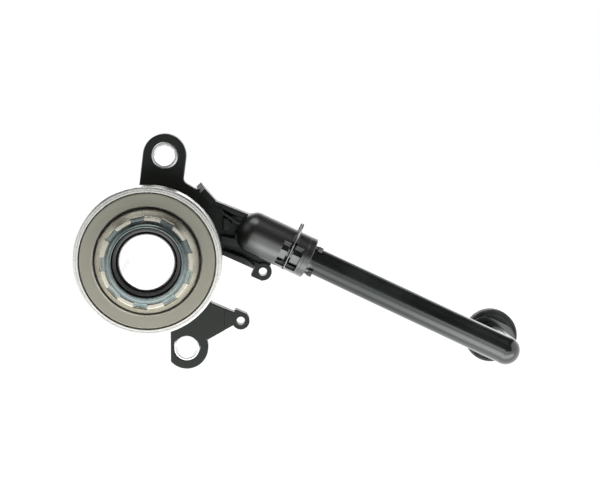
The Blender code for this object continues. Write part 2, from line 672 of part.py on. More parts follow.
def make_bushes(material):
    front = FLANGE_FRONT - BUSH_PROUD
    for name, centre in (("bush_upper", UPPER_EAR), ("bush_lower", LOWER_EAR)):
        profile = [(BOLT_RADIUS, front), (BUSH_RADIUS - SMALL_CHAMFER, front),
                   (BUSH_RADIUS, front + SMALL_CHAMFER), (BUSH_RADIUS, 0.0), (BOLT_RADIUS, 0.0)]
        bush = revolve(profile, COARSE_FACETS)
        bmesh.ops.translate(bush, verts=bush.verts, vec=(centre[0], 0.0, centre[1]))
        add_piece(name, bush, material)


def make_guide_tube(material):
    round_off = 0.5 * TUBE_WALL
    profile = [(BORE_RADIUS, TUBE_FRONT + round_off), (BORE_RADIUS + round_off, TUBE_FRONT),
               (TUBE_RADIUS, TUBE_FRONT + round_off),
               (TUBE_RADIUS, SPIGOT_LENGTH - TUBE_FLANGE_THICKNESS),
               (TUBE_RADIUS + TUBE_FLANGE_WIDTH, SPIGOT_LENGTH - TUBE_FLANGE_THICKNESS),
               (TUBE_RADIUS + TUBE_FLANGE_WIDTH, SPIGOT_LENGTH), (BORE_RADIUS, SPIGOT_LENGTH)]
    ring("guide_tube", profile, MEDIUM_FACETS, material)


def make_static_seals(material):
    thickness = 0.5 * TUBE_GLAND_DEPTH - FIT_GAP
    radius = TUBE_RADIUS + FIT_GAP + thickness
    section = circle((radius, 0.5 * BOTTOM_THICKNESS), thickness, WIRE_FACETS)
    ring("guide_tube_o_ring", section, COARSE_FACETS, material)
    thickness = 0.5 * FACE_RING_GROOVE - FIT_GAP
    radius = SPIGOT_RADIUS - FACE_RING_DEPTH + thickness + FIT_GAP
    section = circle((radius, FACE_RING_OFFSET + 0.5 * FACE_RING_GROOVE), thickness, WIRE_FACETS)
    ring("spigot_o_ring", section, MEDIUM_FACETS, material)


def make_stop_ring(material):
    """Snap ring at the cylinder's mouth that the piston's land comes to rest on."""
    inside = PISTON_BORE + PISTON_NECK_WALL + FIT_GAP
    outside = CHAMBER_RADIUS + STOP_RING_DEPTH - FIT_GAP
    profile = [(inside, STOP_BACK), (inside, STOP_FRONT), (outside, STOP_FRONT), (outside, STOP_BACK)]
    stop_ring = ring("stop_ring", profile, COARSE_FACETS, material)
    half = radians(0.5 * STOP_RING_OPENING)
    reach = outside * 1.2
    wedge = prism([(0.0, 0.0), (-reach * sin(half), -reach * cos(half)),
                   (reach * sin(half), -reach * cos(half))], STOP_FRONT - MM, STOP_BACK + MM)
    combine(stop_ring, add_piece("gap", wedge), "DIFFERENCE")
    complete(stop_ring, material)


def make_piston(material):
    neck = PISTON_BORE + PISTON_NECK_WALL
    nose = PISTON_BORE + PISTON_NOSE_WALL
    profile = [(PISTON_BORE, LAND_BACK), (CHAMBER_RADIUS - FIT_GAP, LAND_BACK),
               (CHAMBER_RADIUS - FIT_GAP, LAND_FRONT), (neck, LAND_FRONT),
               (neck, CAP_BACK + FIT_GAP), (nose, CAP_BACK + FIT_GAP),
               (nose, PISTON_FRONT + EDGE_CHAMFER), (nose - EDGE_CHAMFER, PISTON_FRONT),
               (PISTON_BORE, PISTON_FRONT)]
    ring("piston", profile, MEDIUM_FACETS, material)


def make_piston_seal(material):
    """Cup seal with two lips that the pressure spreads."""
    outside = CHAMBER_RADIUS - FIT_GAP
    inside = PISTON_BORE
    middle = 0.5 * (inside + outside)
    root = SEAL_BACK - 0.6 * SEAL_LENGTH
    profile = [(inside, SEAL_FRONT), (outside, SEAL_FRONT), (outside, SEAL_BACK),
               (outside - 0.5 * SEAL_LIP, SEAL_BACK), (middle, root),
               (inside + 0.5 * SEAL_LIP, SEAL_BACK), (inside, SEAL_BACK)]
    ring("piston_seal", profile, COARSE_FACETS, material)


def make_spring_cap(material):
    """Pressed cup that seats the bearing on the piston and takes the preload spring."""
    inside = SLEEVE_RADIUS
    inner_wall = CAP_WALL_RADIUS - CAP_THICKNESS
    rim = CAP_FLANGE_RADIUS - CAP_THICKNESS
    profile = [(inside, CAP_FRONT), (CAP_WALL_RADIUS, CAP_FRONT), (CAP_WALL_RADIUS, CAP_FLANGE_FRONT),
               (CAP_FLANGE_RADIUS, CAP_FLANGE_FRONT), (CAP_FLANGE_RADIUS, CAP_FLANGE_BACK + CAP_RIM),
               (rim, CAP_FLANGE_BACK + CAP_RIM), (rim, CAP_FLANGE_BACK),
               (inner_wall, CAP_FLANGE_BACK), (inner_wall, CAP_BACK), (inside, CAP_BACK)]
    ring("spring_cap", profile, MEDIUM_FACETS, material)


def make_inner_ring(material):
    """Ball race that stands still, with nine notches in its front face."""
    groove = BALL_RADIUS + FIT_GAP
    reach = INNER_RING_OUTSIDE - BALL_PITCH_RADIUS
    edge = degrees(atan2(sqrt(groove ** 2 - reach ** 2), -reach))
    seat = SLEEVE_FLANGE_RADIUS + FIT_GAP
    shelf = INNER_RING_FRONT + SLEEVE_SEAT_DEPTH
    profile = [(INNER_RING_BORE, INNER_RING_BACK), (INNER_RING_BORE, shelf), (seat, shelf),
               (seat, INNER_RING_FRONT)]
    for across, along in arc((0.0, 0.0), 1.0, -90.0, 0.0, 4):
        profile.append((INNER_RING_FLAT + INNER_RING_BEND * across,
                        INNER_RING_FRONT + INNER_RING_SHOULDER * (1.0 + along)))
    profile += arc((BALL_PITCH_RADIUS, BALL_PLANE), groove, 180.0 + edge, 180.0 - edge, 6)
    profile += [(INNER_RING_OUTSIDE, INNER_RING_BACK)]
    inner_ring = ring("bearing_inner_ring", profile, FINE_FACETS)
    for index in range(LUG_COUNT):
        notch = bmesh.new()
        bmesh.ops.create_cube(notch, size=1.0)
        length = INNER_RING_FLAT - seat + MM
        place = (lug_turn(index)
                 @ Matrix.Translation((INNER_RING_FLAT - 0.5 * length, INNER_RING_FRONT, 0.0))
                 @ Matrix.Diagonal((length, 2.0 * NOTCH_DEPTH, NOTCH_WIDTH, 1.0)))
        bmesh.ops.transform(notch, matrix=place, verts=notch.verts)
        combine(inner_ring, add_piece("notch", notch), "DIFFERENCE")
    complete(inner_ring, material)


def lug_turn(index):
    """Turn from the +X axis to one of the lugs, which are spaced evenly round the bore."""
    return Matrix.Rotation(-radians(FIRST_LUG_ANGLE + 360.0 * index / LUG_COUNT), 4, "Y")


def make_carrier_sleeve(material):
    """Pressed and zinc-plated sleeve with a rolled lip and nine lugs bent into the notches."""
    tube = SLEEVE_RADIUS + SLEEVE_WALL
    face = INNER_RING_FRONT - SLEEVE_SEATING
    back = INNER_RING_BACK - FIT_GAP
    shelf = INNER_RING_FRONT + SLEEVE_SEAT_DEPTH - FIT_GAP
    lip = SLEEVE_RADIUS + SMALL_CHAMFER
    bend = SLEEVE_FLANGE_RADIUS - lip - 0.5 * SLEEVE_WALL
    profile = [(SLEEVE_RADIUS, back), (SLEEVE_RADIUS, SLEEVE_FRONT + SMALL_CHAMFER),
               (lip, SLEEVE_FRONT)]
    for across, along in arc((0.0, 0.0), 1.0, 180.0, 270.0, 3):
        profile.append((SLEEVE_FLANGE_RADIUS + bend * across,
                        SLEEVE_FRONT - (face - SLEEVE_FRONT) * along))
    profile += [(SLEEVE_FLANGE_RADIUS, shelf), (tube, shelf), (tube, back)]
    sleeve = ring("carrier_sleeve", profile, FINE_FACETS)
    for index in range(LUG_COUNT):
        combine(sleeve, add_piece("bent_lug", bent_lug(index, face)), "UNION")
    complete(sleeve, material)


def bent_lug(index, face):
    """Lug that slopes from the sleeve's flange down into a notch of the inner ring."""
    start = SLEEVE_FLANGE_RADIUS - BENT_LUG_ROOT
    half = 0.5 * NOTCH_WIDTH - FIT_GAP
    root = face + 0.5 * SLEEVE_SEATING
    corners = [(start, root), (SLEEVE_FLANGE_RADIUS, root), (BENT_LUG_RADIUS, root + BENT_LUG_DROP),
               (BENT_LUG_RADIUS, root + BENT_LUG_DROP + 0.8 * SLEEVE_WALL),
               (start, root + SLEEVE_WALL)]
    lug = bmesh.new()
    section = [lug.verts.new((x, y, -half)) for x, y in corners]
    grown = bmesh.ops.extrude_face_region(lug, geom=[lug.faces.new(section)])["geom"]
    moved = [item for item in grown if isinstance(item, bmesh.types.BMVert)]
    bmesh.ops.translate(lug, verts=moved, vec=(0.0, 0.0, 2.0 * half))
    bmesh.ops.transform(lug, matrix=lug_turn(index), verts=lug.verts)
    return lug


def make_outer_ring(material):
    """Turning ball race, whose flat front face runs on the fingers of the clutch spring."""
    groove = BALL_RADIUS + FIT_GAP
    reach = OUTER_RING_BORE - BALL_PITCH_RADIUS
    edge = degrees(atan2(sqrt(groove ** 2 - reach ** 2), reach))
    back = CONTACT_FACE + OUTER_RING_LENGTH
    step = CAP_FRONT - FIT_GAP
    profile = [(CONTACT_INSIDE, CONTACT_FACE), (CONTACT_OUTSIDE, CONTACT_FACE),
               (OUTER_RING_OUTSIDE, CONTACT_FACE + OUTER_RING_EDGE), (OUTER_RING_OUTSIDE, back),
               (OUTER_RING_COUNTERBORE, back), (OUTER_RING_COUNTERBORE, step),
               (OUTER_RING_BORE, step)]
    profile += arc((BALL_PITCH_RADIUS, BALL_PLANE), groove, edge, -edge, 6)
    profile += [(OUTER_RING_BORE, CONTACT_FACE + CONTACT_CHAMFER)]
    ring("bearing_outer_ring", profile, FINE_FACETS, material)


def make_outer_shell(material):
    """Polished cover that is pressed round the turning race and turned in behind it."""
    back = CONTACT_FACE + SHELL_LENGTH
    lip_front = CONTACT_FACE + OUTER_RING_LENGTH + FIT_GAP
    profile = [(SHELL_BORE, CONTACT_FACE)]
    profile += arc((SHELL_RADIUS - SHELL_EDGE, CONTACT_FACE + SHELL_EDGE), SHELL_EDGE, -90.0, 0.0, 4)
    profile += [(SHELL_RADIUS, back - 0.5 * SHELL_EDGE), (SHELL_RADIUS - 0.5 * SHELL_EDGE, back),
                (SHELL_LIP, back), (SHELL_LIP, lip_front), (SHELL_BORE, lip_front)]
    ring("outer_shell", profile, FINE_FACETS, material)


def make_bearing_seals(material):
    inside = INNER_RING_OUTSIDE + FIT_GAP
    outside = OUTER_RING_BORE - FIT_GAP
    front = BALL_PLANE - BALL_RADIUS - 2.0 * FIT_GAP
    profile = [(inside, front), (inside, front - SEAL_PLATE), (outside, front - SEAL_PLATE),
               (outside, front)]
    ring("bearing_front_seal", profile, MEDIUM_FACETS, material)
    inside = CAP_WALL_RADIUS + FIT_GAP
    outside = OUTER_RING_COUNTERBORE - FIT_GAP
    profile = [(inside, CAP_BACK), (inside, CAP_BACK - REAR_SEAL_PLATE),
               (outside, CAP_BACK - REAR_SEAL_PLATE), (outside, CAP_BACK)]
    ring("bearing_rear_seal", profile, MEDIUM_FACETS, material)


def make_cage(material):
    """Crown cage whose pockets are open to the front."""
    inside = INNER_RING_OUTSIDE + FIT_GAP
    outside = OUTER_RING_BORE - FIT_GAP
    back = CAP_FRONT - FIT_GAP
    front = BALL_PLANE - 0.5 * BALL_RADIUS
    profile = [(inside, back), (inside, front), (outside, front), (outside, back)]
    cage = ring("ball_cage", profile, BALL_COUNT * 2)
    for index in range(BALL_COUNT):
        pocket = bmesh.new()
        bmesh.ops.create_cone(pocket, cap_ends=True, segments=TINY_FACETS, radius1=BALL_RADIUS + FIT_GAP,
                              radius2=BALL_RADIUS + FIT_GAP, depth=CAGE_POCKET_LENGTH)
        place = (Matrix.Rotation(2.0 * pi * index / BALL_COUNT, 4, "Y")
                 @ Matrix.Translation((BALL_PITCH_RADIUS, BALL_PLANE, 0.0))
                 @ Matrix.Rotation(0.5 * pi, 4, "Y"))
        bmesh.ops.transform(pocket, matrix=place, verts=pocket.verts)
        combine(cage, add_piece("pocket", pocket), "DIFFERENCE")
    complete(cage, material)


def make_balls(material):
    for index in range(BALL_COUNT):
        ball = bmesh.new()
        bmesh.ops.create_icosphere(ball, subdivisions=2, radius=BALL_RADIUS)
        turn = Matrix.Rotation(2.0 * pi * index / BALL_COUNT, 4, "Y")
        place = turn @ Matrix.Translation((BALL_PITCH_RADIUS, BALL_PLANE, 0.0))
        bmesh.ops.transform(ball, matrix=place, verts=ball.verts)
        add_piece(f"ball_{index + 1:02d}", ball, material, sharp=180.0)


def make_spring(material):
    """Tapered preload spring with its end turns closed."""
    base = FLANGE_FRONT - FIT_GAP - SPRING_WIRE_RADIUS
    top = CAP_FLANGE_BACK + FIT_GAP + SPRING_WIRE_RADIUS
    closed_turn = 2.0 * SPRING_WIRE_RADIUS + FIT_GAP
    steps = int(SPRING_TURNS * SPRING_FACETS)
    curve = bpy.data.curves.new("preload_spring", "CURVE")
    curve.dimensions = "3D"
    curve.bevel_depth = SPRING_WIRE_RADIUS
    curve.bevel_resolution = 1
    curve.use_fill_caps = True
    spline = curve.splines.new("POLY")
    spline.points.add(steps)
    for step in range(steps + 1):
        turn = SPRING_TURNS * step / steps
        climb = spring_climb(turn, closed_turn, abs(top - base))
        share = climb / abs(top - base)
        radius = SPRING_BASE_RADIUS + (SPRING_TOP_RADIUS - SPRING_BASE_RADIUS) * share
        angle = 2.0 * pi * turn
        spline.points[step].co = (radius * cos(angle), base - climb, radius * sin(angle), 1.0)
    spring = bpy.data.objects.new("preload_spring", curve)
    bpy.context.scene.collection.objects.link(spring)
    curve.materials.append(material)


def spring_climb(turn, closed_turn, height):
    """Height of the wire along the spring: close turns at both ends and an even pitch between."""
    active = SPRING_TURNS - 2.0
    if turn < 1.0:
        return closed_turn * turn
    if turn > SPRING_TURNS - 1.0:
        return height - closed_turn * (SPRING_TURNS - turn)
    return closed_turn + (height - 2.0 * closed_turn) * (turn - 1.0) / active


def make_pipe(material):
    """Plastic pipe: plug end, tapered straight, mitred elbow, leg, collar and outlet spigot."""
    nose = PLUG_NOSE_RADIUS
    groove = (PLUG_RING_CENTRE - 0.5 * RING_GROOVE_WIDTH, PLUG_RING_CENTRE + 0.5 * RING_GROOVE_WIDTH)
    clip = (-CLIP_POSITION - 0.5 * CLIP_SLOT, -CLIP_POSITION + 0.5 * CLIP_SLOT)
    profile = [(0.0, -PLUG_NOSE), (nose - EDGE_CHAMFER, -PLUG_NOSE), (nose, -PLUG_NOSE + EDGE_CHAMFER),
               (nose, groove[0]), (PLUG_RING_RADIUS, groove[0]), (PLUG_RING_RADIUS, groove[1]),
               (nose, groove[1]), (nose, -PLUG_SHOULDER), (PLUG_RADIUS, -PLUG_SHOULDER),
               (PLUG_RADIUS, clip[0]), (CLIP_GROOVE_RADIUS, clip[0]), (CLIP_GROOVE_RADIUS, clip[1]),
               (PLUG_RADIUS, clip[1]), (PLUG_RADIUS, -PLUG_END - EDGE_CHAMFER),
               (PIPE_RADIUS_AT_PLUG, -PLUG_END),
               (PIPE_RADIUS_AT_ELBOW, PIPE_LENGTH), (0.0, PIPE_LENGTH)]
    pipe = add_piece("pipe", place_in_connector(revolve(profile, COARSE_FACETS, closed=False)))
    combine(pipe, add_piece("leg", pipe_leg()), "UNION")
    combine(pipe, add_piece("collar", prism(collar_outline(), COLLAR_FRONT, COLLAR_BACK)), "UNION")
    cut_pipe_bore(pipe)
    complete(pipe, material)


def pipe_leg():
    """Leg behind the elbow, whose radius steps down inside the collar to the outlet spigot."""
    bead = OUTLET_TIP - OUTLET_BEAD_SETBACK
    bead_end = bead + OUTLET_BEAD_WIDTH
    ring_front = OUTLET_RING_CENTRE - 0.5 * RING_GROOVE_WIDTH
    ring_back = ring_front + RING_GROOVE_WIDTH
    inside_collar = LEG_LENGTH - 0.5 * COLLAR_THICKNESS
    profile = arc((0.0, 0.0), ELBOW_RADIUS, -90.0, 0.0, 5)
    profile += [(PIPE_RADIUS_AT_ELBOW, 2.0 * MM), (PIPE_RADIUS_AT_ELBOW, inside_collar),
                (OUTLET_RADIUS, inside_collar), (OUTLET_RADIUS, bead - OUTLET_BEAD_SLOPE),
                (OUTLET_BEAD_RADIUS, bead), (OUTLET_BEAD_RADIUS, bead_end),
                (OUTLET_RADIUS, bead_end + OUTLET_BEAD_SLOPE), (OUTLET_RADIUS, ring_front),
                (OUTLET_RING_RADIUS, ring_front), (OUTLET_RING_RADIUS, ring_back),
                (OUTLET_RADIUS, ring_back), (OUTLET_RADIUS, OUTLET_TIP - OUTLET_CHAMFER),
                (OUTLET_RADIUS - OUTLET_CHAMFER, OUTLET_TIP), (0.0, OUTLET_TIP)]
    leg = revolve(profile, COARSE_FACETS, closed=False)
    bmesh.ops.transform(leg, matrix=leg_frame(), verts=leg.verts)
    return leg


def collar_outline():
    """Oval with parallel sides, in line with the straight part of the pipe."""
    centre = Vector((ELBOW_CENTRE.x, ELBOW_CENTRE.z))
    along = Vector((CONNECTOR.x, CONNECTOR.z)) * (COLLAR_HALF_LENGTH - COLLAR_HALF_WIDTH)
    right = arc(tuple(centre + along), COLLAR_HALF_WIDTH, CONNECTOR_ANGLE - 90.0,
                CONNECTOR_ANGLE + 90.0, 10)
    left = arc(tuple(centre - along), COLLAR_HALF_WIDTH, CONNECTOR_ANGLE + 90.0,
               CONNECTOR_ANGLE + 270.0, 10)
    return right + left


def cut_pipe_bore(pipe):
    straight = [(0.0, -PLUG_NOSE - MM), (PIPE_BORE_RADIUS, -PLUG_NOSE - MM),
                (PIPE_BORE_RADIUS, PIPE_LENGTH), (0.0, PIPE_LENGTH)]
    bore = add_piece("bore", place_in_connector(revolve(straight, TINY_FACETS, closed=False)))
    down = arc((0.0, 0.0), BORE_ELBOW_RADIUS, -90.0, 0.0, 3)
    down += [(PIPE_BORE_RADIUS, OUTLET_TIP + MM), (0.0, OUTLET_TIP + MM)]
    leg = revolve(down, TINY_FACETS, closed=False)
    bmesh.ops.transform(leg, matrix=leg_frame(), verts=leg.verts)
    combine(bore, add_piece("leg_bore", leg), "UNION")
    combine(pipe, bore, "DIFFERENCE")


def make_pipe_seals(material):
    thickness = 0.5 * (PLUG_NOSE_RADIUS - PLUG_RING_RADIUS)
    section = circle((PLUG_RING_RADIUS + FIT_GAP + thickness, PLUG_RING_CENTRE), thickness, WIRE_FACETS)
    add_piece("pipe_o_ring", place_in_connector(revolve(section, COARSE_FACETS)), material)
    thickness = 0.5 * (OUTLET_RADIUS - OUTLET_RING_RADIUS)
    section = circle((OUTLET_RING_RADIUS + FIT_GAP + thickness, OUTLET_RING_CENTRE), thickness, WIRE_FACETS)
    outlet = revolve(section, COARSE_FACETS)
    bmesh.ops.transform(outlet, matrix=leg_frame(), verts=outlet.verts)
    add_piece("outlet_o_ring", outlet, material)


def make_grommet(material):
    """Rubber grommet that closes the hole in the bellhousing round the outlet spigot."""
    inside = OUTLET_RADIUS + FIT_GAP
    line = GROMMET_LINE_RADIUS
    front = GROMMET_FRONT
    neck = front + GROMMET_FLANGE
    tail = neck + GROMMET_NECK
    back = tail + GROMMET_TAIL
    seat = PIPE_RADIUS_AT_ELBOW + FIT_GAP
    profile = [(inside, front + GROMMET_LINE_DEPTH), (seat, front),
               (line - GROMMET_LINE_DEPTH, front), (line, front + GROMMET_LINE_DEPTH),
               (line + GROMMET_LINE_DEPTH, front), (GROMMET_RADIUS - EDGE_CHAMFER, front),
               (GROMMET_RADIUS, front + EDGE_CHAMFER), (GROMMET_RADIUS, neck),
               (GROMMET_NECK_RADIUS, neck), (GROMMET_NECK_RADIUS, tail),
               (GROMMET_REAR_RADIUS, tail), (GROMMET_REAR_RADIUS - GROMMET_EDGE, back),
               (inside, back)]
    grommet = revolve(profile, MEDIUM_FACETS)
    bmesh.ops.translate(grommet, verts=grommet.verts, vec=(ELBOW_CENTRE.x, 0.0, ELBOW_CENTRE.z))
    add_piece("grommet", grommet, material)


def make_wire_clip(material):
    """U-shaped spring wire: two legs straddle the plug's groove and a bridge joins them on top."""
    leg = CLIP_GROOVE_RADIUS + FIT_GAP + CLIP_WIRE_RADIUS
    top = CLIP_TOP - CLIP_WIRE_RADIUS
    path = [(-leg, -CLIP_BOTTOM), (-leg, 0.0), (-leg, top - CLIP_BEND)]
    path += arc((-leg + CLIP_BEND, top - CLIP_BEND), CLIP_BEND, 180.0, 90.0, 4)[1:]
    path += [(-depth, up) for depth, up in reversed(path)]
    frame = connector_frame()
    curve = bpy.data.curves.new("wire_clip", "CURVE")
    curve.dimensions = "3D"
    curve.bevel_depth = CLIP_WIRE_RADIUS
    curve.bevel_resolution = 1
    curve.use_fill_caps = True
    spline = curve.splines.new("POLY")
    spline.points.add(len(path) - 1)
    for point, (depth, up) in zip(spline.points, path):
        place = frame @ Vector((-depth, -CLIP_POSITION, up))
        point.co = (*place, 1.0)
    clip = bpy.data.objects.new("wire_clip", curve)
    bpy.context.scene.collection.objects.link(clip)
    curve.materials.append(material)


def main():
    clear_scene()
    nylon = finish("black_nylon", (0.022, 0.024, 0.022), 0.32, 0.0)
    rubber = finish("black_rubber", (0.02, 0.02, 0.021), 0.6, 0.0)
    bearing_steel = finish("bearing_steel", (0.4, 0.39, 0.33), 0.42, 1.0)
    polished_steel = finish("polished_steel", (0.72, 0.71, 0.68), 0.18, 1.0)
    zinc = finish("zinc_plate", (0.52, 0.56, 0.57), 0.35, 1.0)
    dark_steel = finish("dark_steel", (0.07, 0.065, 0.06), 0.4, 0.8)
    spring_steel = finish("spring_steel", (0.3, 0.3, 0.3), 0.35, 1.0)
    plated_wire = finish("plated_wire", (0.66, 0.67, 0.66), 0.28, 1.0)
    cage_nylon = finish("cage_nylon", (0.35, 0.31, 0.22), 0.5, 0.0)
    make_housing(nylon)
    make_bushes(zinc)
    make_guide_tube(dark_steel)
    make_static_seals(rubber)
    make_stop_ring(spring_steel)
    make_piston(nylon)
    make_piston_seal(rubber)
    make_spring_cap(zinc)
    make_spring(spring_steel)
    make_inner_ring(bearing_steel)
    make_carrier_sleeve(zinc)
    make_outer_ring(bearing_steel)
    make_outer_shell(polished_steel)
    make_bearing_seals(rubber)
    make_cage(cage_nylon)
    make_balls(bearing_steel)
    make_pipe(nylon)
    make_pipe_seals(rubber)
    make_grommet(rubber)
    make_wire_clip(plated_wire)


main()
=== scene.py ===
from math import atan2, cos, degrees, pi, radians, sin, tan

import bmesh
import bpy
from mathutils import Matrix, Vector


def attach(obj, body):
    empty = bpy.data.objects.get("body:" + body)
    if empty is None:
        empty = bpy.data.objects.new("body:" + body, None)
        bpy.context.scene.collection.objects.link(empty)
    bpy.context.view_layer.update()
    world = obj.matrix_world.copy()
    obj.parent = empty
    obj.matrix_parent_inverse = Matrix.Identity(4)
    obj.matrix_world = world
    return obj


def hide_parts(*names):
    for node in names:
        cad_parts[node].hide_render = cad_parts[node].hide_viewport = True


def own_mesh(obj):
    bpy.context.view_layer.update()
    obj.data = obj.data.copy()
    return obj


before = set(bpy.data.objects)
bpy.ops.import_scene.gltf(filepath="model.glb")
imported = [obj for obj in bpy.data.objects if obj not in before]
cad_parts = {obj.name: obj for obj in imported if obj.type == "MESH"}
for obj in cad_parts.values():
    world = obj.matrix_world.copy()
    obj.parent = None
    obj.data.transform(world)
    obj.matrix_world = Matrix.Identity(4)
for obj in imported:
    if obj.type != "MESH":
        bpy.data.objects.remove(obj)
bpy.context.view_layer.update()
MM = 0.001


# Studio
# A white product studio: pale floor, soft boxes above, below and beside the unit, and dark cards
# behind the camera and overhead, which give the plastic and the steel their dark reflections.
class Signal:
    """A socket of a node tree. Python's operators on it add the Math nodes they stand for."""

    def __init__(self, tree, socket):
        self.tree = tree
        self.socket = socket

    def node(self, kind, settings, sockets, output=0):
        """Adds any node: its settings first, then the value or the link of each socket."""
        made = self.tree.nodes.new(kind)
        for key, value in settings.items():
            if key == "stops":
                while len(made.color_ramp.elements) < len(value):
                    made.color_ramp.elements.new(0.5)
                for element, (place, shade) in zip(made.color_ramp.elements, value):
                    element.position = place
                    element.color = (*shade, 1.0)
            else:
                setattr(made, key, value)
        for key, value in sockets.items():
            if isinstance(value, Signal):
                self.tree.links.new(value.socket, made.inputs[key])
            else:
                made.inputs[key].default_value = value
        return Signal(self.tree, made.outputs[output])

    def maths(self, operation, first, second=0.0):
        return self.node("ShaderNodeMath", {"operation": operation}, {0: first, 1: second})

    def __add__(self, other):
        return self.maths("ADD", self, other)

    def __sub__(self, other):
        return self.maths("SUBTRACT", self, other)

    def __rsub__(self, other):
        return self.maths("SUBTRACT", other, self)

    def __mul__(self, other):
        return self.maths("MULTIPLY", self, other)

    def __truediv__(self, other):
        return self.maths("DIVIDE", self, other)

    def __pow__(self, other):
        return self.maths("POWER", self, other)

    __radd__ = __add__
    __rmul__ = __mul__

    def part(self, axis):
        """One number of a vector, by its axis 0, 1 or 2."""
        return self.node("ShaderNodeSeparateXYZ", {}, {0: self}, axis)

    def scaled(self, x, y, z):
        return self.node("ShaderNodeVectorMath", {"operation": "MULTIPLY"}, {0: self, 1: (x, y, z)})

    def joined(self, x, y, z):
        return self.node("ShaderNodeCombineXYZ", {}, {0: x, 1: y, 2: z})

    def noise(self, scale, detail=3.0, roughness=0.55):
        return self.node("ShaderNodeTexNoise", {}, {
            "Vector": self, "Scale": scale, "Detail": detail, "Roughness": roughness}, "Fac")

    def between(self, low, high, start=0.0, end=1.0):
        """Rises smoothly from start to end while the signal goes from low to high."""
        return self.node("ShaderNodeMapRange", {"interpolation_type": "SMOOTHSTEP"}, {
            "Value": self, "From Min": low, "From Max": high, "To Min": start, "To Max": end})

    def mix(self, first, second):
        """Colour between the first and the second, with the signal as the factor."""
        ends = [(*end, 1.0) if isinstance(end, tuple) else end for end in (first, second)]
        return self.node("ShaderNodeMix", {"data_type": "RGBA"}, {
            0: self, 6: ends[0], 7: ends[1]}, 2)

    def bump(self, distance, strength=1.0, edge=None):
        sockets = {"Height": self, "Distance": distance * MM, "Strength": strength}
        if edge:
            sockets["Normal"] = edge
        return self.node("ShaderNodeBump", {}, sockets)


def begin(name):
    """A new material and the object coordinates in millimetres that its patterns read."""
    material = bpy.data.materials.new(name)
    material.use_nodes = True
    tree = material.node_tree
    metres = Signal(tree, tree.nodes.new("ShaderNodeTexCoord").outputs["Object"])
    return material, metres.scaled(1.0 / MM, 1.0 / MM, 1.0 / MM)


def dress(material, place, **sockets):
    """Sets the sockets of the material's surface shader, with _ for a space in their names."""
    shader = material.node_tree.nodes["Principled BSDF"]
    for key, value in sockets.items():
        socket = shader.inputs[key.replace("_", " ")]
        if isinstance(value, Signal):
            place.tree.links.new(value.socket, socket)
        else:
            socket.default_value = (*value, 1.0) if isinstance(value, tuple) else value
    return material


CAMERA_PLACE = Vector((43.51, -817.59, 83.26)) * MM
CAMERA_TURN_RIGHT = radians(2.083)
CAMERA_TILT_DOWN = radians(5.81)
camera_data = bpy.data.cameras.new("camera")
camera_data.lens = 99.0
camera_data.sensor_width = 36.0
camera_data.clip_start = 0.01
camera = bpy.data.objects.new("camera", camera_data)
camera.location = CAMERA_PLACE
camera.rotation_euler = (0.5 * pi - CAMERA_TILT_DOWN, 0.0, -CAMERA_TURN_RIGHT)
bpy.context.scene.collection.objects.link(camera)
bpy.context.scene.camera = camera
bpy.context.scene.view_settings.view_transform = "Standard"


def lamp(name, place, target, size, watts):
    light = bpy.data.lights.new(name, "AREA")
    light.shape = "RECTANGLE"
    light.size, light.size_y = size
    light.energy = watts
    item = bpy.data.objects.new(name, light)
    item.location = place
    item.rotation_euler = (Vector(target) - Vector(place)).to_track_quat("-Z", "Y").to_euler()
    item.visible_camera = False
    bpy.context.scene.collection.objects.link(item)


lamp("top_box", (-0.1, -0.22, 0.95), (0.05, 0.0, 0.0), (1.1, 0.4), 4.2)
lamp("low_box", (0.05, -0.2, -0.27), (0.06, -0.08, 0.0), (1.2, 0.24), 1.8)
lamp("front_box", (0.05, -1.1, -0.2), (0.05, 0.0, 0.0), (1.0, 0.14), 0.5)
lamp("left_box", (-0.9, -0.35, 0.1), (0.0, 0.0, 0.0), (0.5, 0.8), 1.2)
lamp("back_box", (0.25, 0.95, 0.45), (0.08, 0.0, 0.0), (1.2, 0.9), 3.5)

world = bpy.data.worlds.new("studio")
world.use_nodes = True
bpy.context.scene.world = world


def looked_at(tree):
    """One or more for a ray of the camera or a mirror image, and zero for light on a surface."""
    rays = tree.nodes.new("ShaderNodeLightPath").outputs
    return (Signal(tree, rays["Is Camera Ray"]) + Signal(tree, rays["Is Glossy Ray"])
            + Signal(tree, rays["Is Transmission Ray"]))


sky = world.node_tree.nodes["Background"]
glow = looked_at(world.node_tree).between(0.0, 1.0, 0.3, 1.0)
world.node_tree.links.new(glow.socket, sky.inputs["Strength"])
sky.inputs["Color"].default_value = (1.0, 1.0, 1.0, 1.0)

FLOOR_LEVEL = -0.30
FLOOR_REACH = 6.0
FLAG_LEFT = -1.2
FLAG_RIGHT = 1.3
FLAGS = (("front_flag", (-1.3, -0.08), (-0.95, 1.25)), ("top_flag", (-0.95, 1.25), (0.05, 1.2)),
         ("rear_flag", (0.05, 1.15), (1.4, 0.75)))


def card(name, corners, material):
    mesh = bpy.data.meshes.new(name)
    mesh.from_pydata(corners, [], [range(len(corners))])
    item = bpy.data.objects.new(name, mesh)
    mesh.materials.append(material)
    bpy.context.scene.collection.objects.link(item)
    return item


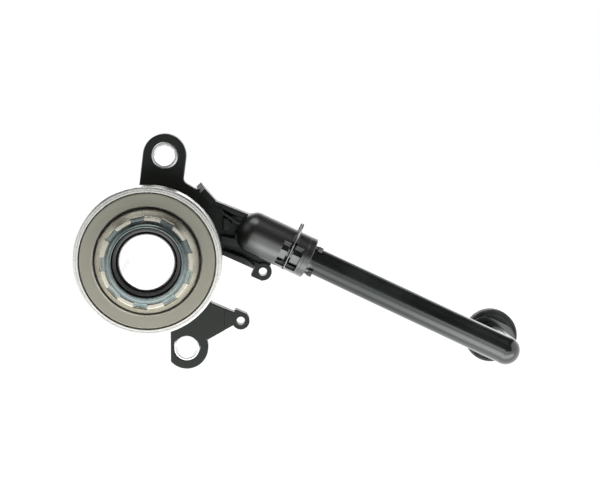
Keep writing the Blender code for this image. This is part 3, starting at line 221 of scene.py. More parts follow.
floor_white, floor_place = begin("floor_white")
shown = looked_at(floor_place.tree).between(0.0, 1.0)
dress(floor_white, floor_place, Base_Color=(0.86, 0.86, 0.86), Roughness=0.9,
      Emission_Color=shown.mix((0.0, 0.0, 0.0), (0.8, 0.8, 0.8)), Emission_Strength=1.0)
card("floor", [(x * FLOOR_REACH, y * FLOOR_REACH, FLOOR_LEVEL)
               for x, y in ((-1.0, -1.0), (1.0, -1.0), (1.0, 1.0), (-1.0, 1.0))], floor_white)
dark_card, card_place = begin("dark_card")
dress(dark_card, card_place, Base_Color=(0.012, 0.012, 0.012), Roughness=0.8)
for name, near, far in FLAGS:
    flag = card(name, [(FLAG_LEFT, *near), (FLAG_RIGHT, *near), (FLAG_RIGHT, *far), (FLAG_LEFT, *far)],
                dark_card)
    flag.visible_camera = False
    flag.visible_diffuse = False
    flag.visible_shadow = False


# Release bearing: outer shell
# Pressed and polished steel cover round the turning race. It is turned in behind the race and
# shows fine lathe rings and a rounded front shoulder.
FACETS = 160
SHELL_RADIUS = 35.0
SHELL_BORE = 32.3
SHELL_FRONT = -50.0
SHELL_BACK = -35.5
SHELL_LIP = 28.5
SHELL_LIP_FRONT = -36.7
STEEL_BRIGHT = (0.76, 0.76, 0.74)
STEEL_DULL = (0.6, 0.6, 0.57)


def rounded(points, steps=4):
    """Corners that are written with a third value, a radius, become arcs."""
    result = []
    for index, corner in enumerate(points):
        here = Vector(corner[:2])
        radius = corner[2] if len(corner) > 2 else 0.0
        before = Vector(points[index - 1][:2]) - here
        after = Vector(points[(index + 1) % len(points)][:2]) - here
        half = 0.5 * before.angle(after, pi)
        if not radius or half > 0.49 * pi:
            result.append(tuple(here))
            continue
        reach = min(radius / tan(half), 0.48 * before.length, 0.48 * after.length)
        radius = reach * tan(half)
        centre = here + (before.normalized() + after.normalized()).normalized() * (radius / sin(half))
        first = here + before.normalized() * reach - centre
        last = here + after.normalized() * reach - centre
        sweep = atan2(first.cross(last), first.dot(last))
        for step in range(steps + 1):
            turn = Matrix.Rotation(sweep * step / steps, 2)
            result.append(tuple(centre + turn @ first))
    return result


def turned(profile, facets=FACETS, closed=True):
    """Spins (radius, y) points round the bore's axis, as on a lathe."""
    form = bmesh.new()
    points = [form.verts.new((radius, y, 0.0)) for radius, y in profile]
    pairs = list(zip(points, points[1:]))
    if closed:
        pairs.append((points[-1], points[0]))
    edges = [form.edges.new(pair) for pair in pairs]
    bmesh.ops.spin(form, geom=points + edges, axis=(0.0, 1.0, 0.0), cent=(0.0, 0.0, 0.0),
                   steps=facets, angle=2.0 * pi, use_merge=True)
    return form


def as_object(name, form):
    """Closes a form into an object: doubles merged and faces turned outwards."""
    bmesh.ops.remove_doubles(form, verts=form.verts, dist=0.0015)
    bmesh.ops.recalc_face_normals(form, faces=form.faces)
    mesh = bpy.data.meshes.new(name)
    form.to_mesh(mesh)
    form.free()
    item = bpy.data.objects.new(name, mesh)
    bpy.context.scene.collection.objects.link(item)
    return item


def plain(item):
    """Turns an object with modifiers into a plain mesh."""
    graph = bpy.context.evaluated_depsgraph_get()
    mesh = bpy.data.meshes.new_from_object(item.evaluated_get(graph))
    item.modifiers.clear()
    item.data = mesh
    return item


def place_piece(item, material, slot, body, *nodes, sharp=35.0):
    """Shades a finished piece, gives it its material and lets it ride in place of CAD nodes."""
    item.data.transform(Matrix.Scale(MM, 4))
    item.data.shade_smooth()
    item.data.set_sharp_from_angle(angle=radians(sharp))
    flatten = item.modifiers.new("flat faces stay flat", "WEIGHTED_NORMAL")
    flatten.keep_sharp = True
    flatten.weight = 100
    plain(item)
    item.data.materials.clear()
    item.data.materials.append(material)
    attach(item, body)
    if nodes:
        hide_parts(*nodes)
    return item


def round_places(place):
    """Radius, turn and depth of a point round the bore's axis."""
    x = place.part(0)
    z = place.part(2)
    radius = (x * x + z * z) ** 0.5
    return radius, place.maths("ARCTAN2", z, x), place.part(1)


def lathe_marks(place, fineness, run=1.6):
    """Fine rings that a tool or a stone leaves on a turned face."""
    radius, turn, depth = round_places(place)
    marks = place.joined(radius * fineness, depth * fineness, turn * run)
    return marks.noise(1.0, 4.0, 0.65)


shell_steel, place = begin("polished_shell_steel")
marks = lathe_marks(place, 6.0, 0.3)
radius, turn, depth = round_places(place)
wide = place.joined(radius * 1.4, depth * 0.9, turn * 0.3).noise(1.0, 2.0)
stain = place.noise(0.12, 4.0)
dress(shell_steel, place, Metallic=1.0,
      Base_Color=(marks * 0.35 + wide * 0.4 + stain * 0.25).between(0.3, 0.7).mix(STEEL_DULL, STEEL_BRIGHT),
      Roughness=stain.between(0.35, 0.75, 0.2, 0.3) + marks * 0.08,
      Normal=(marks + wide * 0.6).bump(0.006, 0.4))
profile = rounded([
    (SHELL_BORE, SHELL_FRONT, 0.25), (33.25, SHELL_FRONT, 0.1),
    (33.35, SHELL_FRONT + 0.16), (33.5, SHELL_FRONT + 0.02, 0.1),
    (SHELL_RADIUS, SHELL_FRONT, 1.5), (SHELL_RADIUS, -41.0, 0.05),
    (SHELL_RADIUS - 0.12, -40.85, 0.05), (SHELL_RADIUS, -40.7, 0.05),
    (SHELL_RADIUS, SHELL_BACK, 1.1), (SHELL_LIP, SHELL_BACK, 0.4),
    (SHELL_LIP, SHELL_LIP_FRONT, 0.4), (SHELL_BORE, SHELL_LIP_FRONT)], 6)
place_piece(as_object("shell", turned(profile)), shell_steel, "polished_steel", "turning_ring",
            "outer_shell")


# Release bearing: turning race
# Ground bearing steel. Its flat front ring runs on the fingers of the clutch spring, with a
# brighter chamfer at the bore, polished and with a painted highlight, and balls roll in the groove inside.
RACE_STEEL = (0.4, 0.395, 0.33)
RACE_STEEL_DARK = (0.32, 0.315, 0.26)
CONTACT_INSIDE = 26.2
CONTACT_OUTSIDE = 31.4
RACE_OUTSIDE = 32.0
RACE_BORE = 25.45
RACE_BACK = -37.0
BALL_RADIUS = 3.6
BALL_PITCH = 25.05
BALL_PLANE = -44.3
GROOVE_RADIUS = 3.85
GROOVE_STEPS = 12
SEAL_SEAT = 27.2
SEAL_PLANE = -39.6
SHOULDER_RADIUS = 24.4

race_steel, place = begin("ground_race_steel")
marks = lathe_marks(place, 5.2, 3.0)
speckle = place.noise(3.2, 2.0)
radius = round_places(place)[0]
# The chamfer at the bore is polished, so its roughness is lower. Its colour is also lifted to bright steel as
# a painted highlight.
polished_chamfer_and_highlight = 1.0 - radius.between(CONTACT_INSIDE - 0.25, CONTACT_INSIDE + 0.15)
tone = (marks * 0.55 + speckle * 0.45).between(0.3, 0.7)
dress(race_steel, place, Metallic=0.9,
      Base_Color=polished_chamfer_and_highlight.mix(tone.mix(RACE_STEEL_DARK, RACE_STEEL), STEEL_BRIGHT),
      Roughness=polished_chamfer_and_highlight.between(0.0, 1.0, 0.5, 0.22) + speckle * 0.08,
      Normal=(marks * 0.6 + speckle).bump(0.012, 0.6))


def groove(outer):
    """Half-round ball groove of a race, from the front to the back."""
    edge = RACE_BORE if outer else SHOULDER_RADIUS
    side = 1.0 if outer else -1.0
    reach = side * (edge - BALL_PITCH) / GROOVE_RADIUS
    half = atan2((1.0 - reach * reach) ** 0.5, reach)
    points = []
    for step in range(GROOVE_STEPS + 1):
        angle = half - 2.0 * half * step / GROOVE_STEPS
        points.append((BALL_PITCH + side * GROOVE_RADIUS * cos(angle),
                       BALL_PLANE - GROOVE_RADIUS * sin(angle)))
    return points


profile = rounded([
    (RACE_BORE, SHELL_FRONT + 0.8, 0.15), (CONTACT_INSIDE, SHELL_FRONT, 0.2),
    (CONTACT_OUTSIDE, SHELL_FRONT, 0.3), (RACE_OUTSIDE, SHELL_FRONT + 0.7, 0.2),
    (RACE_OUTSIDE, RACE_BACK, 0.3), (SEAL_SEAT, RACE_BACK, 0.3),
    (SEAL_SEAT, SEAL_PLANE), (RACE_BORE, SEAL_PLANE)]) + list(reversed(groove(True)))
place_piece(as_object("turning_race", turned(profile)), race_steel, "bearing_steel", "turning_ring",
            "bearing_outer_ring")


# Release bearing: standing race
# Phosphated inner race with a rounded front shoulder. Nine notches are milled into its front
# face for the lugs of the carrier sleeve.
RACE_FRONT = -56.5
RACE_INSIDE = 17.7
NOTCH_COUNT = 9
NOTCH_START = radians(21.5)
NOTCH_WIDTH = 7.0
NOTCH_DEPTH = 2.3
NOTCH_PLACE = 20.0
PHOSPHATE = (0.64, 0.62, 0.53)
PHOSPHATE_DARK = (0.5, 0.48, 0.41)


def cut(item, tool, operation="DIFFERENCE"):
    """Cuts, or with UNION joins, an object with a tool object, which is used up."""
    modifier = item.modifiers.new(operation, "BOOLEAN")
    modifier.operation = operation
    modifier.solver = "EXACT"
    modifier.object = tool
    plain(item)
    bpy.data.objects.remove(tool, do_unlink=True)
    return item


def geometry_tree(name, sizes):
    """A geometry tree with a mesh input, named number inputs and one material input."""
    tree = bpy.data.node_groups.new(name, "GeometryNodeTree")
    tree.interface.new_socket("Geometry", in_out="INPUT", socket_type="NodeSocketGeometry")
    for size in sizes:
        tree.interface.new_socket(size, in_out="INPUT", socket_type="NodeSocketFloat")
    tree.interface.new_socket("Material", in_out="INPUT", socket_type="NodeSocketMaterial")
    tree.interface.new_socket("Geometry", in_out="OUTPUT", socket_type="NodeSocketGeometry")
    given = tree.nodes.new("NodeGroupInput")
    return tree, {socket.name: Signal(tree, socket) for socket in given.outputs if socket.name}


def close_tree(given, result):
    """Ends a geometry tree in plain geometry with its material."""
    real = result.node("GeometryNodeRealizeInstances", {}, {0: result})
    painted = real.node("GeometryNodeSetMaterial", {}, {"Geometry": real, "Material": given["Material"]})
    output = result.tree.nodes.new("NodeGroupOutput")
    result.tree.links.new(painted.socket, output.inputs[0])
    return result.tree


def grown(item, tree, sizes, material):
    """Runs a geometry tree on an object with the given sizes and keeps the plain result."""
    modifier = item.modifiers.new(tree.name, "NODES")
    modifier.node_group = tree
    for socket in tree.interface.items_tree:
        if socket.in_out == "INPUT" and socket.name in sizes:
            modifier[socket.identifier] = sizes[socket.name]
        if socket.in_out == "INPUT" and socket.name == "Material":
            modifier[socket.identifier] = material
    return plain(item)


tree, given = geometry_tree("spread round the bore", ["Count", "First Angle", "Outward"])
bore_circle = given["Count"].node("GeometryNodeMeshCircle", {"fill_type": "NONE"}, {
    "Vertices": given["Count"], "Radius": 1.0}, "Mesh")
number = given["Count"].node("GeometryNodeInputIndex", {}, {})
angle = (number / given["Count"] * (2.0 * pi) + given["First Angle"]) * -1.0
start = angle.joined(given["Outward"], 0.0, 0.0)
spun = start.node("ShaderNodeVectorRotate", {"rotation_type": "Y_AXIS"}, {
    "Vector": start, "Angle": angle})
spots = bore_circle.node("GeometryNodeSetPosition", {}, {"Geometry": bore_circle, "Position": spun})
copies = spots.node("GeometryNodeInstanceOnPoints", {}, {
    "Points": spots, "Instance": given["Geometry"], "Rotation": angle.joined(0.0, angle, 0.0)})
round_the_bore = close_tree(given, copies)

race_phosphate, place = begin("phosphated_race")
marks = lathe_marks(place, 4.2, 2.4)
crystals = place.noise(2.6, 4.0, 0.7)
blotch = place.noise(0.18, 3.0)
dress(race_phosphate, place, Metallic=1.0,
      Base_Color=(crystals * 0.5 + blotch * 0.3 + marks * 0.2).between(0.35, 0.68).mix(
          PHOSPHATE_DARK, PHOSPHATE),
      Roughness=crystals.between(0.3, 0.7, 0.24, 0.36),
      Normal=(crystals + marks * 0.5).bump(0.006, 0.4))


def block(low, high, edge=0.0):
    """A box between two corners, with its edges broken."""
    form = bmesh.new()
    bmesh.ops.create_cube(form, size=1.0)
    low, high = Vector(low), Vector(high)
    size = high - low
    middle = 0.5 * (low + high)
    bmesh.ops.transform(form, matrix=Matrix.Translation(middle) @ Matrix.Diagonal((*size, 1.0)),
                        verts=form.verts)
    if edge:
        bmesh.ops.bevel(form, geom=form.edges[:], offset=edge, segments=2, profile=0.5,
                        affect="EDGES")
    return form


profile = [(RACE_INSIDE, SEAL_PLANE, 0.3), (RACE_INSIDE, -55.0), (19.6, -55.0), (19.6, RACE_FRONT, 0.15),
           (21.4, RACE_FRONT, 0.5), (24.0, -52.4, 1.2), (SHOULDER_RADIUS, -50.4, 0.6)]
profile += groove(False) + [(SHOULDER_RADIUS, SEAL_PLANE, 0.3)]
standing_race = as_object("standing_race", turned(rounded(profile)))
notch = as_object("notches", block((-2.0, RACE_FRONT - MM, -0.5 * NOTCH_WIDTH),
                                   (1.85, RACE_FRONT + NOTCH_DEPTH, 0.5 * NOTCH_WIDTH), 0.25))
grown(notch, round_the_bore, {"Count": NOTCH_COUNT, "First Angle": NOTCH_START, "Outward": NOTCH_PLACE},
      race_phosphate)
cut(standing_race, notch)
place_piece(standing_race, race_phosphate, "bearing_steel", "carriage", "bearing_inner_ring")


# Release bearing: seals
# Black rubber rings that close the gap between the races, in front of the balls and behind them.
# Both are pressed into the turning race, and their lips run on the standing one.
RUBBER = (0.012, 0.012, 0.013)

seal_rubber, place = begin("seal_rubber")
bloom = place.noise(0.7, 4.0)
dress(seal_rubber, place, Base_Color=bloom.between(0.35, 0.8).mix(RUBBER, (0.03, 0.03, 0.032)),
      Roughness=bloom.between(0.3, 0.7, 0.5, 0.68), Normal=place.noise(5.0, 2.0).bump(0.01, 0.5))
profile = rounded([
    (24.62, -49.0, 0.1), (24.9, -49.15, 0.1),
    (25.05, -48.9, 0.1), (25.2, -49.1, 0.1), (25.5, -49.0),
    (25.5, -48.4), (24.62, -48.4)])
place_piece(as_object("front_seal", turned(profile)), seal_rubber, "seal_rubber", "turning_ring",
            "bearing_front_seal")
profile = rounded([
    (25.15, -39.1), (26.95, -39.15), (26.95, -38.3, 0.2),
    (26.3, -38.3, 0.2), (25.9, -38.6, 0.2), (25.15, -38.4, 0.1)])
place_piece(as_object("rear_seal", turned(profile)), seal_rubber, "seal_rubber", "turning_ring",
            "bearing_rear_seal")


# Release bearing: balls and cage
# Polished bearing balls, evenly spaced by a moulded crown cage. They roll round the standing
# race at a little over half the speed of the turning one.
BALL_COUNT = 14

ball_steel, place = begin("ball_steel")
oil = place.noise(0.4, 3.0)
dress(ball_steel, place, Metallic=1.0,
      Base_Color=oil.between(0.3, 0.7).mix((0.5, 0.48, 0.44), STEEL_BRIGHT),
      Roughness=oil.between(0.3, 0.7, 0.08, 0.2), Normal=place.noise(6.0, 2.0).bump(0.004, 0.3))
ball = bmesh.new()
bmesh.ops.create_icosphere(ball, subdivisions=4, radius=BALL_RADIUS)
balls = as_object("balls", ball)
grown(balls, round_the_bore, {"Count": BALL_COUNT, "First Angle": 0.0, "Outward": BALL_PITCH}, ball_steel)
balls.data.transform(Matrix.Translation((0.0, BALL_PLANE, 0.0)))
place_piece(balls, ball_steel, "bearing_steel", "ball_set",
            *[f"ball_{number:02d}" for number in range(1, BALL_COUNT + 1)])

cage_nylon, place = begin("cage_nylon")
flow = place.noise(0.24, 4.0)
dress(cage_nylon, place, Base_Color=flow.between(0.3, 0.7).mix((0.3, 0.26, 0.17), (0.42, 0.38, 0.28)),
      Roughness=flow.between(0.3, 0.7, 0.42, 0.58), Normal=place.noise(3.0, 2.0).bump(0.01, 0.4))


def paint(node, material):
    """Gives a CAD node that stays as it is its material."""
    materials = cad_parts[node].data.materials
    materials.clear()
    materials.append(material)


paint("ball_cage", cage_nylon)


# Carrier sleeve
# Deep-drawn steel sleeve, zinc plated and passivated. It carries the standing race: its front is
# rolled to a lip, and nine lugs are bent outwards and down into the notches.
SLEEVE_RADIUS = 16.4
SLEEVE_WALL = 1.0
SLEEVE_FRONT = -58.0
SLEEVE_BACK = -39.9
SLEEVE_FLANGE = 19.3
LIP_REACH = 2.0
LIP_DROP = 1.3
LIP_BACK = -55.35
LUG_WIDTH = 6.4
ZINC = (0.2, 0.235, 0.225)
ZINC_DARK = (0.1, 0.125, 0.12)
ZINC_BLUE = (0.12, 0.16, 0.2)


def zinc_plate(name, grain):
    """Passivated zinc: grey-green spangle with a blue cast, dulled in patches."""
    material, place = begin(name)
    spangle = place.node("ShaderNodeTexVoronoi", {"feature": "SMOOTH_F1"}, {
        "Vector": place, "Scale": grain, "Smoothness": 0.6}, "Distance")
    cloud = place.noise(0.26, 4.0, 0.6)
    cast = place.noise(0.09, 2.0)
    tone = (spangle * 0.6 + cloud * 0.7).between(0.25, 0.85)
    return dress(material, place, Metallic=1.0,
                 Base_Color=cast.between(0.4, 0.65).mix(
                     tone.mix(ZINC_DARK, ZINC), tone.mix(ZINC_BLUE, ZINC)),
                 Roughness=cloud.between(0.3, 0.7, 0.26, 0.42),
                 Normal=(cloud + spangle * 0.5).bump(0.02, 0.5))


sleeve_zinc = zinc_plate("zinc_sleeve", 1.5)
lip = []
for step in range(9):
    bend = radians(90.0 * step / 8)
    lip.append((SLEEVE_FLANGE - LIP_REACH * cos(bend), SLEEVE_FRONT + 0.1 + LIP_DROP * sin(bend)))
profile = [(SLEEVE_RADIUS, SLEEVE_BACK, 0.2), (SLEEVE_RADIUS, SLEEVE_FRONT, 0.45), (17.15, SLEEVE_FRONT)]
profile += lip + [(SLEEVE_FLANGE, LIP_BACK, 0.2), (SLEEVE_RADIUS + SLEEVE_WALL, LIP_BACK),
                  (SLEEVE_RADIUS + SLEEVE_WALL, SLEEVE_BACK, 0.2)]
sleeve = as_object("sleeve", turned(rounded(profile)))
bent = bmesh.new()
side = [(-1.2, -56.58), (0.0, -56.55), (0.4, -56.4), (0.8, -56.0), (2.0, -55.2), (2.0, -54.5),
        (1.6, -54.45), (0.1, -55.5), (-1.2, -55.6)]
base = [bent.verts.new((x, y, -0.5 * LUG_WIDTH)) for x, y in side]
far = bmesh.ops.extrude_face_region(bent, geom=[bent.faces.new(base)])["geom"]
bmesh.ops.translate(bent, verts=[v for v in far if isinstance(v, bmesh.types.BMVert)],
                    vec=(0.0, 0.0, LUG_WIDTH))
lugs = as_object("lugs", bent)
grown(lugs, round_the_bore, {"Count": NOTCH_COUNT, "First Angle": NOTCH_START,
                             "Outward": SLEEVE_FLANGE - 0.1}, sleeve_zinc)
cut(sleeve, lugs, "UNION")
place_piece(sleeve, sleeve_zinc, "zinc_plate", "carriage", "carrier_sleeve")


# Guide tube, piston and their seals
# The tube is dark drawn steel and lets the gearbox's input shaft through. The ring-shaped piston
# is turned from dark thermoset plastic, slides on the tube and carries the bearing on its nose.
BORE_RADIUS = 12.7
TUBE_RADIUS = 14.0
PISTON_BORE = 14.3
TUBE_DARK = (0.03, 0.027, 0.025)
TUBE_GREY = (0.08, 0.074, 0.07)
HONED_DULL = (0.82, 0.82, 0.83)
HONED_BRIGHT = (0.93, 0.93, 0.94)

tube_steel, place = begin("drawn_tube_steel")
radius, turn, depth = round_places(place)
drawn = place.joined(turn * 60.0, depth * 0.03, radius * 0.9).noise(1.0, 4.0)
smear = place.noise(0.16, 3.0)
honed = 1.0 - radius.between(BORE_RADIUS + 0.15, BORE_RADIUS + 0.4)
dress(tube_steel, place, Metallic=0.9,
      Base_Color=honed.mix((drawn * 0.6 + smear * 0.4).between(0.35, 0.7).mix(TUBE_DARK, TUBE_GREY),
                           smear.between(0.3, 0.7).mix(HONED_DULL, HONED_BRIGHT)),
      Roughness=honed.between(0.0, 1.0, 0.34, 0.12) + smear * 0.08, Normal=drawn.bump(0.006, 0.4))
profile = rounded([
    (BORE_RADIUS, -53.5, 0.6), (TUBE_RADIUS, -53.5, 0.6),
    (TUBE_RADIUS, 3.5, 0.2), (18.0, 3.5, 0.3),
    (18.0, 5.0, 0.3), (BORE_RADIUS, 5.0, 1.2)])
place_piece(as_object("tube", turned(profile, 128)), tube_steel, "tube_steel", "housing", "guide_tube")

piston_plastic, place = begin("turned_piston_plastic")
marks = lathe_marks(place, 3.0, 2.0)
filler = place.noise(1.8, 3.0)
dress(piston_plastic, place, Coat_Weight=0.2,
      Base_Color=(marks * 0.5 + filler * 0.5).between(0.35, 0.7).mix(
          (0.035, 0.036, 0.036), (0.11, 0.11, 0.105)),
      Roughness=filler.between(0.3, 0.7, 0.26, 0.4), Normal=(marks + filler * 0.3).bump(0.02, 0.6))
profile = rounded([
    (PISTON_BORE, -17.3, 0.2), (19.3, -17.3, 0.3),
    (19.3, -22.3, 0.3), (17.2, -22.3, 0.3), (17.2, -38.0, 0.2),
    (16.1, -38.0, 0.2), (16.1, -54.5, 0.6),
    (15.2, -54.5, 0.1), (15.0, -54.1, 0.1),
    (PISTON_BORE, -53.9, 0.3)])
place_piece(as_object("piston_body", turned(profile, 128)), piston_plastic, "piston_nylon", "carriage",
            "piston")
for node in ("piston_seal", "guide_tube_o_ring"):
    paint(node, seal_rubber)


# Spring cap, preload spring and stop ring
# The cap is a zinc-plated pressing between the piston and the bearing. The tapered spring of
# oiled steel wire keeps the bearing against the clutch, and a snap ring stops the piston.
CAP_PROFILE = (
    (16.4, -39.3, 0.3), (24.9, -39.3, 1.0), (24.9, -34.1, 0.9), (31.5, -34.1, 1.0), (31.5, -31.1, 0.3),
    (30.5, -31.1, 0.3), (30.5, -33.1, 0.6), (23.9, -33.1, 1.0), (23.9, -38.3, 0.9), (16.4, -38.3, 0.3))
WIRE_RADIUS = 1.0
SPRING_TURNS = 5.5
SPRING_BASE = -9.3
SPRING_HEIGHT = 22.5
STEPS_PER_TURN = 48.0

cap_zinc = zinc_plate("zinc_cap", 1.3)
place_piece(as_object("cap", turned(rounded(CAP_PROFILE), 128)), cap_zinc, "zinc_plate", "carriage",
            "spring_cap")

tree, given = geometry_tree("coiled wire", [
    "Turns", "Height", "Base Radius", "Top Radius", "Closed Pitch", "Wire Radius"])
line = given["Turns"].node("GeometryNodeCurvePrimitiveLine", {}, {})
count = (given["Turns"] * STEPS_PER_TURN).maths("ROUND", given["Turns"] * STEPS_PER_TURN)
fine_line = line.node("GeometryNodeResampleCurve", {}, {"Curve": line, "Count": count})
number = given["Turns"].node("GeometryNodeInputIndex", {}, {})
coil_turn = number / (count - 1.0) * given["Turns"]
middle = given["Turns"] - 2.0
pitch = (given["Height"] - given["Closed Pitch"] * 2.0) / middle
first = coil_turn.maths("MINIMUM", coil_turn, 1.0) * given["Closed Pitch"]
between = (coil_turn - 1.0).maths("MAXIMUM", coil_turn - 1.0, 0.0)
between = between.maths("MINIMUM", between, middle) * pitch
last = coil_turn - given["Turns"] + 1.0
climb = first + between + last.maths("MAXIMUM", last, 0.0) * given["Closed Pitch"]
reach = given["Base Radius"] + (given["Top Radius"] - given["Base Radius"]) * climb / given["Height"]
angle = coil_turn * (2.0 * pi)
spot = angle.joined(reach * angle.maths("COSINE", angle), climb * -1.0, reach * angle.maths("SINE", angle))
coil = fine_line.node("GeometryNodeSetPosition", {}, {"Geometry": fine_line, "Position": spot})
section = coil.node("GeometryNodeCurvePrimitiveCircle", {}, {
    "Resolution": 14, "Radius": given["Wire Radius"]})
wire = coil.node("GeometryNodeCurveToMesh", {}, {
    "Curve": coil, "Profile Curve": section, "Fill Caps": True})
coiled_wire = close_tree(given, wire)

spring_steel, place = begin("oiled_spring_steel")
scale = place.noise(0.5, 4.0)
dress(spring_steel, place, Metallic=0.9,
      Base_Color=scale.between(0.35, 0.7).mix((0.12, 0.115, 0.11), (0.34, 0.335, 0.33)),
      Roughness=scale.between(0.3, 0.7, 0.24, 0.42), Normal=place.noise(2.5, 3.0).bump(0.01, 0.5))
spring = bpy.data.objects.new("spring", bpy.data.meshes.new("spring"))
bpy.context.scene.collection.objects.link(spring)
grown(spring, coiled_wire, {
    "Turns": SPRING_TURNS, "Height": SPRING_HEIGHT, "Base Radius": 28.6, "Top Radius": 26.4,
    "Closed Pitch": 2.0 * WIRE_RADIUS + 0.3, "Wire Radius": WIRE_RADIUS}, spring_steel)
spring.data.transform(Matrix.Translation((0.0, SPRING_BASE, 0.0)))
place_piece(spring, spring_steel, "spring_steel", "housing", "preload_spring")
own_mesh(spring)
paint("stop_ring", spring_steel)


# Housing
# One injection moulding in black glass-filled nylon: the ring-shaped cylinder with its round
# flange and rear spigot, two bolt ears, plates with two clip eyes, and the ribbed arm.
FLANGE_FRONT = -8.0
PLATE_FRONT = -7.4
EAR_RADIUS = 10.6
EARS = ((6.62, 47.54, 7.2), (16.90, -47.65, 160.5))
EAR_FLAT = 8.9
EYE_ORBIT = 55.6
EYE_MIDDLE = radians(-24.35)
EYE_SPREAD = radians(13.95)
BUSH_RADIUS = 6.25
CLIP_EYE_RADIUS = 2.08
SHOULDER = ((8.0, 26.0), (15.6, 38.0), (16.0, 35.3), (16.9, 34.0), (21.9, 31.0), (24.4, 31.5),
            (31.5, 25.8), (35.6, 21.3), (35.6, -1.5), (24.0, -4.0), (10.0, 4.0))
PLATE = ((18.0, -16.0), (29.6, -25.5), (35.6, -28.1), (35.6, -39.1), (27.4, -43.7), (16.0, -42.0),
         (10.0, -28.0))
TONGUE = ((33.0, -27.0), (40.8, -30.3), (43.5, -31.5), (43.5, -35.5), (40.2, -36.6), (33.0, -40.5))
NYLON = (0.01, 0.0095, 0.0085)
NYLON_DARK = (0.004, 0.0037, 0.0032)


def edges_shown(place, width):
    """Normal with the edges rounded over a width, and how near a point is to a sharp edge."""
    round_edge = place.node("ShaderNodeBevel", {"samples": 6}, {"Radius": width * MM})
    flat = place.node("ShaderNodeNewGeometry", {}, {}, "Normal")
    same = place.node("ShaderNodeVectorMath", {"operation": "DOT_PRODUCT"}, {0: round_edge, 1: flat},
                      "Value")
    return round_edge, (1.0 - same).between(0.01, 0.25)


def slab(outline, front, back=0.0, edge=0.45):
    """Extrudes an outline of (x, z) points from the back to the front, with a rounded front rim."""
    form = bmesh.new()
    corners = [form.verts.new((x, back, z)) for x, z in outline]
    raised = bmesh.ops.extrude_face_region(form, geom=[form.faces.new(corners)])["geom"]
    raised = [vert for vert in raised if isinstance(vert, bmesh.types.BMVert)]
    bmesh.ops.translate(form, verts=raised, vec=(0.0, front - back, 0.0))
    if edge:
        rim = [line for line in form.edges if all(vert in raised for vert in line.verts)]
        bmesh.ops.bevel(form, geom=rim, offset=edge, segments=3, profile=0.5, affect="EDGES",
                        clamp_overlap=True)
    return form


def arc(middle, radius, first, last, steps=24):
    """Points on an arc between two angles in degrees."""
    return [(middle[0] + radius * cos(radians(first + (last - first) * step / steps)),
             middle[1] + radius * sin(radians(first + (last - first) * step / steps)))
            for step in range(steps + 1)]


def ear(x, z, lean):
    """Outline of a round ear whose sides run back to the cylinder."""
    outline = arc((x, z), EAR_RADIUS, -lean, 180.0 - lean)
    inward = Vector((-sin(radians(lean)), -cos(radians(lean)))) * (EAR_RADIUS + 12.0)
    return outline + [tuple(Vector(outline[-1]) + inward), tuple(Vector(outline[0]) + inward)]


def eye_places():
    """Centre of each clip eye and the side on which it has its corner."""
    for side in (1.0, -1.0):
        turn = EYE_MIDDLE + side * EYE_SPREAD
        yield Vector((EYE_ORBIT * cos(turn), EYE_ORBIT * sin(turn))), side


def eye(middle, side):
    """Outline of an eye: round, with one squared corner that faces the other eye."""
    along = Vector((cos(EYE_MIDDLE), sin(EYE_MIDDLE)))
    across = Vector((-along.y, along.x)) * -side
    outline = arc((0.0, 0.0), 4.35, 186.0, 430.0)
    outline += [(1.6, 4.35), (-4.3, 4.35), (-4.7, 3.95), (-4.7, 0.6)]
    return [tuple(middle + along * p + across * q) for p, q in outline]


core = [(0.0, -25.0), (23.0, -25.0, 0.5), (23.0, FLANGE_FRONT, 0.8), (31.0, FLANGE_FRONT, 0.6),
        (31.0, 0.0, 0.2), (21.5, 0.0), (21.5, 1.6), (20.0, 1.6), (20.0, 3.8), (21.5, 3.8), (21.5, 5.0, 0.5),
        (0.0, 5.0)]
housing = as_object("housing_body", turned(rounded(core), closed=False))

# The lower ear is cut flat on its left side.
upper_ear = ear(*EARS[0])
lower_ear = arc(EARS[1][:2], EAR_RADIUS, -139.0, 19.5) + [ear(*EARS[1])[-2], (EAR_FLAT, -25.0)]
forms = [slab(outline, FLANGE_FRONT, edge=0.6) for outline in (upper_ear, lower_ear)]
forms += [slab(SHOULDER, FLANGE_FRONT), slab(PLATE, FLANGE_FRONT), slab(TONGUE, PLATE_FRONT)]
forms += [slab(eye(*place), PLATE_FRONT, edge=0.35) for place in eye_places()]

# The arm is a thin web with a wedge along its upper edge, a curved fin under it, a flat rib, a
# gusset and a lower wall. A thick rib with a slanted upper end stands beside the upper ear.
WEB = ((33.0, 22.5), (49.1, 16.8), (56.0, 6.0), (50.2, -7.5), (33.0, 0.5))
WEDGE = ((30.5, 25.9), (50.0, 18.0), (48.9, 15.9), (39.5, 19.0), (30.0, 24.0))
FIN = ((32.6, 23.0), (34.6, 21.6), (36.1, 19.9), (42.0, 16.1), (48.5, 13.3), (48.0, 12.0), (41.3, 14.9),
       (35.3, 18.8), (33.0, 21.6))
RIB = ((34.0, 8.4), (41.4, 6.9), (46.5, 4.6), (45.6, 2.5), (34.0, 4.3))
GUSSET = ((35.0, 17.4), (38.0, 16.4), (39.6, 14.2), (37.4, 11.6), (35.0, 11.0))
PIN = ((41.3, 10.0), (43.9, 9.3), (43.3, 6.5), (40.7, 7.2))
LOWER_WALL = ((34.0, -0.6), (50.3, -8.0), (50.6, -6.4), (46.0, -2.4), (34.0, 1.7))
EYE_STRIP = ((38.0, -2.4), (52.6, -9.0), (53.5, -6.0), (39.5, 0.8))
ARM_FLOOR = ((46.0, -4.0), (54.0, -8.0), (58.6, -7.0), (58.6, -3.0), (50.0, 2.0))
NECK = ((39.0, 17.2), (41.5, 15.2), (48.0, 12.2), (53.0, 10.0), (53.0, 18.3), (51.5, 18.8), (39.2, 18.95))
ARM_BACK = -2.0
THICK_RIB_START = Vector((24.2, 34.1))
THICK_RIB_TURN = radians(-48.5)
THICK_RIB_LENGTH = 11.2
THICK_RIB_WIDTH = 3.4
